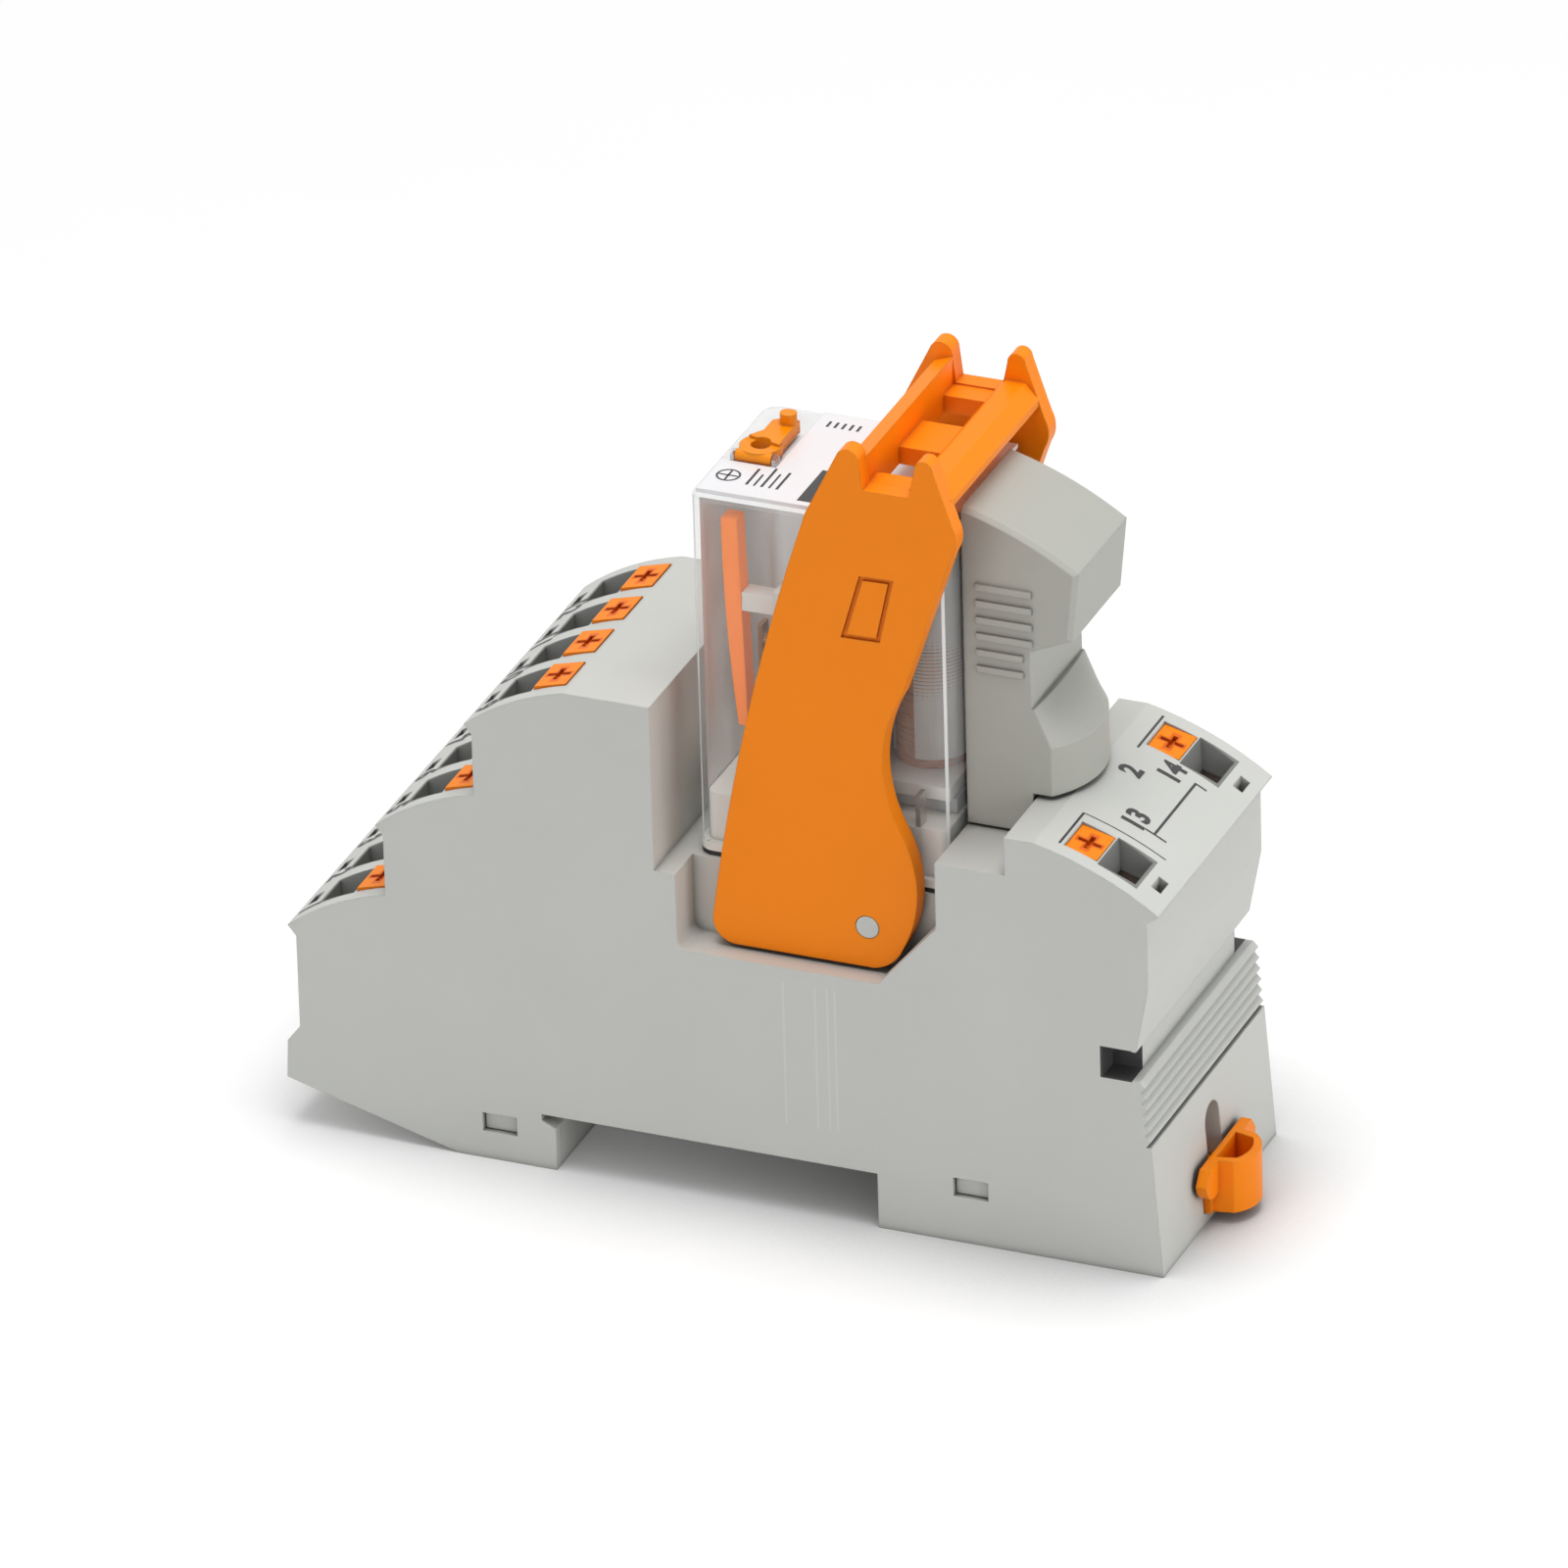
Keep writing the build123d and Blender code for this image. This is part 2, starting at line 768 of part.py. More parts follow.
def fork_outline(fork_x, y):
    """Fork with two prongs beside the pin."""
    prong_gap = pin_thickness + 2 * pin_fit
    prong = (fork_length - prong_gap) / 2
    with BuildSketch(Plane.XZ.offset(-y)) as profile:
        with Locations((fork_x, fork_bottom_z + rail_thickness / 2)):
            Rectangle(fork_length, rail_thickness)
        for side in (-1, 1):
            with Locations((fork_x + side * (prong_gap + prong) / 2, fork_bottom_z)):
                Rectangle(prong, fork_top_z - fork_bottom_z, align=(Align.CENTER, Align.MIN))
    return profile.sketch


rail_groups = []
for tier, tier_name in enumerate(tier_names):
    level = first_tip_z + run_z + tier * rail_level_pitch
    places = [(column_y[column], pin_y[column]) for column in range(4)]
    tip_x, tip_z = tier_tip(tier)
    rail_groups.append((tier_name, tip_x + wire_offset, tip_z, 1, level, pin_row_x[tier], places))
coil_places = [(column_y[0], pin_y[0]), (column_y[3], pin_y[3])]
rail_groups.append(("coil", coil_wire_x, coil_tip_z, -1, coil_level, coil_pin_x, coil_places))

for name, wire_x, tip_z, side, level, fork_x, places in rail_groups:
    path = rail_path(wire_x, tip_z, side, level, fork_x)
    with BuildPart() as contact_rail:
        for terminal_y, strip_y in places:
            edge_y = strip_y + rail_strip_width / 2
            extrude(strip_outline(path, rail_thickness, edge_y), amount=rail_strip_width)
            extrude(fork_outline(fork_x, edge_y), amount=rail_strip_width)
            # The clamp tab is as wide as the wire entry
            tab = strip_outline(path[:2], rail_thickness, terminal_y + tab_width / 2)
            extrude(tab, amount=tab_width)
    finish(contact_rail, f"{name}_contact_rails")


# Clamp springs: a leaf bent round below the button, its free leg closing the wire entry
def clamp_spring_outline(wire_x, tip_z, side, y):
    """Side outline of a clamp spring, resting on the run of its contact rail."""
    bed_z = tip_z + run_z + rail_thickness / 2
    bend_x = wire_x + side * spring_bend_x
    radius = spring_bend_radius + spring_thickness / 2
    leg_turn = radians(spring_bend_angle - 90)
    leg_start = (bend_x + side * radius * cos(leg_turn), bed_z + radius + radius * sin(leg_turn))
    leg_end = (
        leg_start[0] - side * spring_leg * sin(leg_turn),
        leg_start[1] + spring_leg * cos(leg_turn),
    )
    middle_turn = radians(spring_bend_angle / 2 - 90)
    middle = (
        bend_x + side * radius * cos(middle_turn),
        bed_z + radius + radius * sin(middle_turn),
    )
    with BuildSketch(Plane.XZ.offset(-y)) as profile:
        with BuildLine():
            Line((wire_x + side * spring_start, bed_z), (bend_x, bed_z))
            ThreePointArc((bend_x, bed_z), middle, leg_start)
            Line(leg_start, leg_end)
            offset(amount=spring_thickness, side=Side.LEFT if side > 0 else Side.RIGHT)
        make_face()
    return profile.sketch


# Push buttons: a head with a cross slot, a collar that keeps it in, and a foot on the spring
def button_outline(button_x, tip_z, side, y):
    """Side outline of a push button, its top sloping with the housing."""
    half = button_length / 2
    foot = button_foot_length / 2
    shape = [
        (-foot, button_foot_z),
        (foot, button_foot_z),
        (foot, button_collar_z),
        (half, button_collar_z),
        (half, button_top_high),
        (-half, button_top_low),
        (-half, button_collar_z),
        (-foot, button_collar_z),
    ]
    return face_outline([(button_x + side * x, tip_z + z) for x, z in shape], y)


for name, wire_x, tip_z, side, y in terminals:
    with BuildPart() as clamp_spring:
        spring_edge = y + spring_width / 2
        extrude(clamp_spring_outline(wire_x, tip_z, side, spring_edge), amount=spring_width)
    finish(clamp_spring, f"{name}_clamp_spring")

    button_x = wire_x + side * button_offset
    with BuildPart() as push_button:
        extrude(button_outline(button_x, tip_z, side, y + button_width / 2), amount=button_width)
        with Locations((button_x, y, tip_z + button_collar_z)):
            Box(
                button_length,
                chamber_width - 0.2,
                button_collar_top - button_collar_z,
                align=(Align.CENTER, Align.CENTER, Align.MIN),
            )
        cross_z = tip_z + (button_top_low + button_top_high) / 2 - cross_depth
        with Locations((button_x, y, cross_z)):
            Box(
                cross_length,
                cross_width,
                2,
                align=(Align.CENTER, Align.CENTER, Align.MIN),
                mode=Mode.SUBTRACT,
            )
            Box(
                cross_width,
                cross_length,
                2,
                align=(Align.CENTER, Align.CENTER, Align.MIN),
                mode=Mode.SUBTRACT,
            )
    finish(push_button, f"{name}_button")


# Relay base: the moulding that carries the pins, with a plinth inside the cover
relay_length = relay_right_x - relay_left_x
relay_mid_x = (relay_right_x + relay_left_x) / 2
plinth_margin = cover_wall + plinth_fit
with BuildPart() as relay_base:
    with BuildSketch(Plane.XY.offset(socket_top_z)):
        with Locations((relay_mid_x, 0)):
            RectangleRounded(relay_length, 2 * relay_half_width, relay_corner)
    extrude(amount=relay_base_top - socket_top_z)
    with BuildSketch(Plane.XY.offset(relay_base_top)):
        with Locations((relay_mid_x, 0)):
            RectangleRounded(
                relay_length - 2 * plinth_margin,
                2 * (relay_half_width - plinth_margin),
                relay_corner - cover_wall,
            )
    extrude(amount=plinth_height)
    with BuildSketch(Plane.XY.offset(socket_top_z - 1)):
        with Locations(*fork_places):
            Rectangle(pin_thickness, pin_width)
    extrude(amount=relay_base_top - socket_top_z + plinth_height + 2, mode=Mode.SUBTRACT)
finish(relay_base, "relay_base")


# Relay cover: a clear cap, open below, with two ears for the test lever on its top
ear_outer = ear_inner + ear_width
with BuildPart() as relay_cover:
    with BuildSketch(Plane.XY.offset(relay_base_top)):
        with Locations((relay_mid_x, 0)):
            RectangleRounded(relay_length, 2 * relay_half_width, relay_corner)
    extrude(amount=relay_top_z - relay_base_top)
    with BuildSketch(Plane.XY.offset(relay_base_top)):
        with Locations((relay_mid_x, 0)):
            RectangleRounded(
                relay_length - 2 * cover_wall,
                2 * (relay_half_width - cover_wall),
                relay_corner - cover_wall,
            )
    extrude(amount=relay_top_z - relay_base_top - cover_wall, mode=Mode.SUBTRACT)
    for ear_left in (lever_mid_x - ear_outer, lever_mid_x + ear_inner):
        with BuildSketch(Plane.YZ.offset(ear_left)):
            with Locations((lever_pivot_y, lever_pivot_z)):
                Circle(ear_half)
                Rectangle(
                    2 * ear_half,
                    lever_pivot_z - relay_top_z,
                    align=(Align.CENTER, Align.MAX),
                )
                Circle(lever_pin + lever_pin_fit, mode=Mode.SUBTRACT)
        extrude(amount=ear_width)
finish(relay_cover, "relay_cover")


# Label plate on the cover, cut out round the test lever
with BuildPart() as relay_label_plate:
    with BuildSketch(Plane.XY.offset(relay_top_z)):
        with BuildLine():
            plate_left = relay_left_x + label_margin
            plate_right = relay_right_x - label_margin
            plate_back = relay_half_width - label_margin
            notch_right = lever_mid_x + ear_outer + notch_margin
            notch_front = lever_pivot_y - ear_half - notch_margin
            Polyline(
                (plate_left, label_front_y),
                (plate_right, label_front_y),
                (plate_right, plate_back),
                (notch_right, plate_back),
                (notch_right, notch_front),
                (plate_left, notch_front),
                close=True,
            )
        make_face()
    extrude(amount=label_thickness)
finish(relay_label_plate, "relay_label_plate")


# Test lever: a barrel with two pins under the edge of a ring, a bar and a finger knob
barrel_half = ear_inner - ear_gap
lever_bottom_z = lever_pivot_z - lever_drop
with BuildPart() as test_lever:
    with BuildSketch(Plane.YZ.offset(lever_mid_x - barrel_half)):
        with Locations((lever_pivot_y, lever_pivot_z)):
            Circle(lever_barrel)
    extrude(amount=2 * barrel_half)
    with BuildSketch(Plane.XY.offset(lever_bottom_z)):
        with Locations((lever_mid_x, ring_y)):
            Circle(ring_radius)
    extrude(amount=ring_thickness)
    with BuildSketch(Plane.XY.offset(lever_bottom_z)):
        with BuildLine():
            Polyline(
                (lever_mid_x - ring_radius + 0.5, ring_y + 1.0),
                (lever_mid_x + ring_radius - 0.2, ring_y),
                (lever_x[1], lever_neck_y),
                (lever_x[1], lever_end_y),
                (lever_x[0] + 0.8, lever_end_y),
                (lever_x[0], lever_end_y - 0.8),
                (lever_x[0], lever_neck_y),
                close=True,
            )
        make_face()
    extrude(amount=lever_thickness)
    with BuildSketch(Plane.XY.offset(relay_top_z)):
        with Locations((lever_mid_x, ring_y)):
            Circle(ring_hole)
    extrude(amount=5, mode=Mode.SUBTRACT)
    with BuildSketch(Plane.YZ.offset(lever_mid_x - ear_outer + ear_gap)):
        with Locations((lever_pivot_y, lever_pivot_z)):
            Circle(lever_pin)
    extrude(amount=2 * (ear_outer - ear_gap))
    with BuildSketch(Plane.XY.offset(lever_bottom_z)):
        with Locations(knob_place):
            RectangleRounded(*knob_size, 0.7)
    extrude(amount=knob_height)
finish(test_lever, "test_lever")


# Fixed contacts: each a blade that is pin, strip and rivet in one
def blade_outline(pin_x, blade_x, y):
    """Bent blade from its pin up to the contact height."""
    path = [
        (pin_x, pin_bottom_z + pin_thickness / 2),
        (pin_x, blade_jog_z),
        (blade_x, blade_jog_z),
        (blade_x, blade_top_z - pin_thickness / 2),
    ]
    return strip_outline(path, pin_thickness, y)


for name, pin_x, blade_x, rivet_side in (
    ("normally_open_contacts", pin_row_x[2], no_blade_x, 1),
    ("normally_closed_contacts", pin_row_x[0], nc_blade_x, -1),
):
    with BuildPart() as fixed_contacts:
        for y in pin_y:
            blade = blade_outline(pin_x, blade_x, y + pin_width / 2)
            extrude(blade, amount=pin_width)
        face_x = blade_x + rivet_side * pin_thickness / 2
        with BuildSketch(Plane.YZ.offset(face_x)):
            with Locations(*[(y, rivet_z) for y in pin_y]):
                Circle(rivet_radius)
        extrude(amount=rivet_side * rivet_height)
    finish(fixed_contacts, name)

with BuildPart() as common_pins:
    for y in pin_y:
        path = [(pin_row_x[1], pin_bottom_z + 0.25), (pin_row_x[1], common_pin_top - 0.25)]
        blade = strip_outline(path, pin_thickness, y + pin_width / 2)
        extrude(blade, amount=pin_width)
finish(common_pins, "common_pins")

with BuildPart() as coil_pins:
    for y in (pin_y[0], pin_y[3]):
        path = [(coil_pin_x, pin_bottom_z + 0.25), (coil_pin_x, yoke_floor_z + 3.0)]
        blade = strip_outline(path, pin_thickness, y + pin_width / 2)
        extrude(blade, amount=pin_width)
finish(coil_pins, "coil_pins")

# Moving contacts: leaf springs with a rivet on both sides
with BuildPart() as moving_contacts:
    for y in pin_y:
        with Locations((pin_row_x[1], y, moving_foot_z)):
            Box(
                moving_thickness,
                pin_width,
                carrier_z[0] - moving_foot_z,
                align=(Align.CENTER, Align.CENTER, Align.MIN),
            )
    rivet_length = moving_thickness + 2 * moving_rivet_height
    with BuildSketch(Plane.YZ.offset(pin_row_x[1] - rivet_length / 2)):
        with Locations(*[(y, rivet_z) for y in pin_y]):
            Circle(rivet_radius)
    extrude(amount=rivet_length)
finish(moving_contacts, "moving_contacts")

# Carrier that joins the moving contacts, with a pusher towards the armature
carrier_left = pin_row_x[1] - carrier_thickness / 2
with BuildPart() as contact_carrier:
    with Locations((pin_row_x[1], 0, carrier_z[0])):
        Box(
            carrier_thickness,
            2 * carrier_half_length,
            carrier_z[1] - carrier_z[0],
            align=(Align.CENTER, Align.CENTER, Align.MIN),
        )
    with Locations((carrier_left, 0, pusher_bottom_z)):
        Box(
            armature_leg_x - pusher_gap - carrier_left,
            2 * pusher_half,
            carrier_z[1] - pusher_bottom_z,
            align=(Align.MIN, Align.CENTER, Align.MIN),
        )
    # Arm to the indicator
    with Locations((indicator_knee[0] + indicator_width, indicator_y[0], carrier_z[0] + 0.5)):
        Box(
            carrier_left - indicator_knee[0] - indicator_width,
            indicator_y[1] - indicator_y[0],
            2.0,
            align=(Align.MIN, Align.MIN, Align.MIN),
        )
finish(contact_carrier, "contact_carrier")

with BuildPart() as indicator_arm:
    with BuildSketch(Plane.XZ.offset(-indicator_y[1])):
        with BuildLine():
            ThreePointArc(indicator_foot, indicator_knee, indicator_head)
            Line(indicator_head, (indicator_head[0] + indicator_width, indicator_head[1]))
            ThreePointArc(
                (indicator_head[0] + indicator_width, indicator_head[1]),
                (indicator_knee[0] + indicator_width, indicator_knee[1]),
                (indicator_foot[0] + 1.0, indicator_foot[1]),
            )
            Line((indicator_foot[0] + 1.0, indicator_foot[1]), indicator_foot)
        make_face()
    extrude(amount=indicator_y[1] - indicator_y[0])
finish(indicator_arm, "indicator_arm")

# Magnet system: yoke, core, bobbin, winding and armature
with BuildPart() as yoke:
    with BuildSketch(Plane.XZ.offset(-yoke_half_width)):
        with BuildLine():
            Polyline(
                (yoke_x, yoke_floor_z),
                (yoke_right_x, yoke_floor_z),
                (yoke_right_x, yoke_floor_z + yoke_thickness),
                (yoke_x + yoke_thickness, yoke_floor_z + yoke_thickness),
                (yoke_x + yoke_thickness, yoke_top_z),
                (yoke_x, yoke_top_z),
                close=True,
            )
        make_face()
    extrude(amount=2 * yoke_half_width)
finish(yoke, "yoke")

core_bottom_z = yoke_floor_z + yoke_thickness
pole_top_z = yoke_top_z + armature_play - armature_gap
bobbin_top_z = pole_top_z - pole_thickness - bobbin_gap
bobbin_bottom_z = core_bottom_z + bobbin_gap
with BuildPart() as core:
    with BuildSketch(Plane.XY.offset(core_bottom_z)):
        with Locations((coil_x, 0)):
            Circle(core_radius)
    extrude(amount=pole_top_z - core_bottom_z)
    with BuildSketch(Plane.XY.offset(pole_top_z - pole_thickness)):
        with Locations((coil_x, 0)):
            Circle(pole_radius)
    extrude(amount=pole_thickness)
finish(core, "core")

with BuildPart() as bobbin:
    for flange_z in (bobbin_bottom_z, bobbin_top_z - bobbin_flange):
        with BuildSketch(Plane.XY.offset(flange_z)):
            with Locations((coil_x, 0)):
                Rectangle(2 * bobbin_half[0], 2 * bobbin_half[1])
        extrude(amount=bobbin_flange)
    with BuildSketch(Plane.XY.offset(bobbin_bottom_z)):
        with Locations((coil_x, 0)):
            Circle(bobbin_tube)
    extrude(amount=bobbin_top_z - bobbin_bottom_z)
    with BuildSketch(Plane.XY.offset(bobbin_bottom_z)):
        with Locations((coil_x, 0)):
            Circle(core_radius + core_fit)
    extrude(amount=bobbin_top_z - bobbin_bottom_z, mode=Mode.SUBTRACT)
finish(bobbin, "bobbin")

with BuildPart() as coil_winding:
    winding_bottom_z = bobbin_bottom_z + bobbin_flange
    winding_height = bobbin_top_z - bobbin_flange - winding_bottom_z
    with BuildSketch(Plane.XY.offset(winding_bottom_z)):
        with Locations((coil_x, 0)):
            Circle(winding_radius)
            Circle(bobbin_tube, mode=Mode.SUBTRACT)
    extrude(amount=winding_height)
finish(coil_winding, "coil_winding")

armature_bottom_z = yoke_top_z + armature_play
with BuildPart() as armature:
    with BuildSketch(Plane.XZ.offset(-armature_half_width)):
        with BuildLine():
            Polyline(
                (armature_leg_x, armature_bottom_z),
                (armature_right_x, armature_bottom_z),
                (armature_right_x, armature_bottom_z + armature_thickness),
                (armature_leg_x, armature_bottom_z + armature_thickness),
                close=True,
            )
        make_face()
    extrude(amount=2 * armature_half_width)
    with BuildSketch(Plane.XZ.offset(-armature_leg_half)):
        with BuildLine():
            Polyline(
                (armature_leg_x, armature_leg_z),
                (armature_leg_x + armature_thickness, armature_leg_z),
                (armature_leg_x + armature_thickness, armature_bottom_z),
                (armature_leg_x, armature_bottom_z),
                close=True,
            )
        make_face()
    extrude(amount=2 * armature_leg_half)
finish(armature, "armature")


# Retaining bracket: two arms on the pivot stubs, joined by a ladder over the relay
def arm_outline(y):
    """Side outline of a bracket arm, with two horns at its top."""
    heel = (-0.56, 28.05)
    shoulder = (10.9, arm_top_z - 7.6)
    with BuildSketch(Plane.XZ.offset(-y)) as profile:
        with BuildLine():
            ThreePointArc(heel, (5.9, 61.0), shoulder)
            Line(shoulder, (14.3, arm_top_z - 0.8))
            ThreePointArc(
                (14.3, arm_top_z - 0.8),
                (15.5, arm_top_z),
                (16.6, arm_top_z - 0.9),
            )
            Polyline(
                (16.6, arm_top_z - 0.9),
                (17.0, arm_top_z - 4.2),
                (21.8, arm_top_z - 4.2),
                (22.5, arm_top_z - 1.0),
            )
            ThreePointArc(
                (22.5, arm_top_z - 1.0),
                (23.5, arm_top_z),
                (24.4, arm_top_z - 0.9),
            )
            Line((24.4, arm_top_z - 0.9), (26.3, arm_top_z - 6.6))
            ThreePointArc(
                (26.3, arm_top_z - 6.6),
                (26.7, arm_top_z - 8.3),
                (26.2, arm_top_z - 10.0),
            )
            Line((26.2, arm_top_z - 10.0), (20.6, 59.0))
            ThreePointArc((20.6, 59.0), (18.4, 49.8), (20.0, 43.8))
            ThreePointArc((20.0, 43.8), (21.7, 37.5), (20.0, 30.6))
            ThreePointArc((20.0, 30.6), (19.05, 29.15), (16.9, 28.05))
            Line((16.9, 28.05), heel)
        make_face()
        corner = profile.vertices().group_by(Axis.Y)[0].sort_by(Axis.X)[0]
        fillet(corner, radius=arm_corner)
        with Locations((pivot_x, pivot_z)):
            Circle(pivot_radius + pivot_fit, mode=Mode.SUBTRACT)
    return profile.sketch


def field_outline(y):
    """Engraved frame on the outside of an arm."""
    with BuildSketch(Plane.XZ.offset(-y)) as profile:
        with BuildLine():
            Polyline(*frame_field, close=True)
        make_face()
        with BuildLine():
            inner = Polyline(*frame_field, close=True, mode=Mode.PRIVATE)
            offset(inner, amount=-field_groove, kind=Kind.INTERSECTION)
        make_face(mode=Mode.SUBTRACT)
    return profile.sketch


ladder_width = 2 * arm_inner_y + 2 * rung_join
rung_left_x = ladder_left_x + ladder_rail
with BuildPart() as retaining_bracket:
    for y in (arm_outer_y, -arm_inner_y):
        extrude(arm_outline(y), amount=arm_thickness)
    left_rail = face_outline(
        [
            (ladder_left_x, rung_bottom_z),
            (rung_left_x, rung_bottom_z),
            (rung_left_x, ladder_left_top),
            (ladder_left_x, ladder_left_top - 0.6),
        ],
        ladder_width / 2,
    )
    extrude(left_rail, amount=ladder_width)
    right_rail = face_outline(
        [
            (ladder_right_x, rung_bottom_z - 0.4),
            (ladder_right_x, rung_top_z + 0.2),
            (ladder_right_x + 1.1, rung_top_z + 1.4),
            (ladder_right_x + 3.2, rung_top_z + 1.4),
            (ladder_right_x + 4.5, rung_top_z - 0.2),
            (ladder_right_x + 4.5, rung_bottom_z + 0.9),
            (ladder_right_x + 3.2, rung_bottom_z + 0.1),
        ],
        ladder_width / 2,
    )
    extrude(right_rail, amount=ladder_width)
    # Three rungs between the rails
    rung_spans = (
        (-ladder_width / 2, rung_edges[0]),
        (rung_edges[1], rung_edges[2]),
        (rung_edges[3], ladder_width / 2),
    )
    for y_low, y_high in rung_spans:
        with Locations((rung_left_x - 0.2, y_low, rung_bottom_z)):
            Box(
                ladder_right_x - rung_left_x + 0.4,
                y_high - y_low,
                rung_top_z - rung_bottom_z,
                align=(Align.MIN, Align.MIN, Align.MIN),
            )
    # Lugs under the right rail
    for y in (-column_pitch, 0, column_pitch):
        with Locations((lug_x[0], y, lug_bottom_z)):
            Box(
                lug_x[1] - lug_x[0],
                lug_width,
                lug_height,
                align=(Align.MIN, Align.CENTER, Align.MIN),
            )
    for y in (arm_outer_y, -arm_outer_y + field_depth):
        extrude(field_outline(y), amount=field_depth, mode=Mode.SUBTRACT)
finish(retaining_bracket, "retaining_bracket")


# Plug-in module beside the relay
def module_outline(y):
    """Side outline of the module's housing."""
    with BuildSketch(Plane.XZ.offset(-y)) as profile:
        with BuildLine():
            Polyline(
                (module_left_x, 77.4),
                (module_left_x, module_bottom_z),
                (module_neck_x, module_bottom_z),
                (module_neck_x, thumb_z[2]),
                (31.5, 62.3),
                (36.0, 64.3),
                (36.8, 71.9),
            )
            ThreePointArc((36.8, 71.9), (30.9, 75.2), (module_left_x, 77.4))
        make_face()
    return profile.sketch


def thumb_outline(reach, z):
    """Plan of the thumb grip, with a share of its full reach from the neck."""
    side_x = module_neck_x + thumb_side_reach * reach
    front_x = module_neck_x + thumb_front_reach * reach
    with BuildSketch(Plane.XY.offset(z)) as plan:
        with BuildLine():
            ThreePointArc((side_x, -module_half_width), (front_x, 0), (side_x, module_half_width))
            Polyline(
                (side_x, module_half_width),
                (module_neck_x - thumb_root, module_half_width),
                (module_neck_x - thumb_root, -module_half_width),
                (side_x, -module_half_width),
            )
        make_face()
    return plan.sketch


module_cavity = [
    (module_left_x + module_wall, module_bottom_z + module_wall),
    (module_neck_x - module_wall, module_bottom_z + module_wall),
    (module_neck_x - module_wall, 63.2),
    (34.4, 65.4),
    (34.9, 70.8),
    (module_left_x + module_wall, 74.6),
]
with BuildPart() as module_housing:
    extrude(module_outline(module_half_width), amount=2 * module_half_width)
    module_sides = module_housing.faces().filter_by(Axis.Y)
    chamfer(module_sides.edges().filter_by(lambda edge: edge.center().Z > 63), length=module_edge)
    # Thumb grip, half round in plan, that slopes back to the neck at its top
    extrude(thumb_outline(1, thumb_z[0]), amount=thumb_z[1] - thumb_z[0])
    loft([thumb_outline(1, thumb_z[1]), thumb_outline(thumb_shrink, thumb_z[2])])
    for side in (-1, 1):
        for grip in range(grip_count):
            grip_end = grip_x[1] - (grip_short if grip > grip_count - 3 else 0)
            grip_z = grip_top_z - grip * grip_pitch
            with Locations(((grip_x[0] + grip_end) / 2, side * module_half_width, grip_z)):
                Box(grip_end - grip_x[0], 2 * grip_proud, grip_height)
    extrude(
        face_outline(module_cavity, module_half_width - module_wall),
        amount=2 * (module_half_width - module_wall),
        mode=Mode.SUBTRACT,
    )
    with BuildSketch(Plane.XY.offset(module_bottom_z - 1)):
        with Locations(*[(x, 0) for x in module_pin_x]):
            Rectangle(*module_pin_size)
    extrude(amount=module_wall + 1.5, mode=Mode.SUBTRACT)
finish(module_housing, "module_housing")

board_x = (module_left_x + module_wall + board_gap, module_neck_x - module_wall - board_gap)
with BuildPart() as module_board:
    with Locations((board_x[0], module_pin_size[1] / 2, module_bottom_z + module_wall)):
        Box(
            board_x[1] - board_x[0],
            board_thickness,
            board_top_z - module_bottom_z - module_wall,
            align=(Align.MIN, Align.MIN, Align.MIN),
        )
finish(module_board, "module_board")

with BuildPart() as suppressor_diode:
    diode_y = module_pin_size[1] / 2 + board_thickness
    with Locations(((board_x[0] + board_x[1]) / 2, diode_y, diode_z)):
        Box(*diode_size, align=(Align.CENTER, Align.MIN, Align.MIN))
finish(suppressor_diode, "suppressor_diode")

with BuildPart() as module_pins:
    for x in module_pin_x:
        with Locations((x, 0, module_pin_bottom)):
            Box(
                *module_pin_size,
                module_pin_top - module_pin_bottom,
                align=(Align.CENTER, Align.CENTER, Align.MIN),
            )
finish(module_pins, "module_pins")
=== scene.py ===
"""Finishes, printed marks and fine pieces of a plug-in relay on a rail-mounting base."""

import json
import math

import bmesh
import bpy
import numpy as np
from bpy.props import FloatProperty, FloatVectorProperty, IntProperty, PointerProperty
from mathutils import Matrix, Vector


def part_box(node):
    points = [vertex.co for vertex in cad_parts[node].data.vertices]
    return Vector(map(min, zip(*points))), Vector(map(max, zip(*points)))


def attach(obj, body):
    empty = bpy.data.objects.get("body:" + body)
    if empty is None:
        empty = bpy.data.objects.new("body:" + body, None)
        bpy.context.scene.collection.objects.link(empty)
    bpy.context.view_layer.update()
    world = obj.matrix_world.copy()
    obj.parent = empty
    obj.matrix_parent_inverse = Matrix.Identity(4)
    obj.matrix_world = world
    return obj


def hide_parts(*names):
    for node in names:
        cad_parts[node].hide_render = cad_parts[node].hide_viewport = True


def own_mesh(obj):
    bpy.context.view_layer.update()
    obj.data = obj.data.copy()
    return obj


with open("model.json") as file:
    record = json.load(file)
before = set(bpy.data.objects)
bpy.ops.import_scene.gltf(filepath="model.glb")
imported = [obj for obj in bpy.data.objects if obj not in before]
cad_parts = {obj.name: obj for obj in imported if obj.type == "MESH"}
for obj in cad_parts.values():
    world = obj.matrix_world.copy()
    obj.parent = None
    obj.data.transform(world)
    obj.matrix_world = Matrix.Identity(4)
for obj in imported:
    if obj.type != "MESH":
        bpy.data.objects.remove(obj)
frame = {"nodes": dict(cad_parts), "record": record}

bl_info = {
    "name": "Relay Module Looks",
    "version": (1, 0, 0),
    "blender": (4, 5, 0),
    "location": "3D View > Sidebar > Relay",
    "description": "Dresses the plug-in relay module with its finishes, marks and fine pieces",
    "category": "Object",
}

MM = 0.001
TIERS = ("lower", "middle", "upper")
COLUMNS = 4


# Places read from the frame

def middle(node):
    """Centre of a node's box."""
    low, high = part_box(node)
    return (Vector(low) + Vector(high)) / 2


def low_corner(node):
    """Lowest corner of a node's box."""
    return Vector(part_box(node)[0])


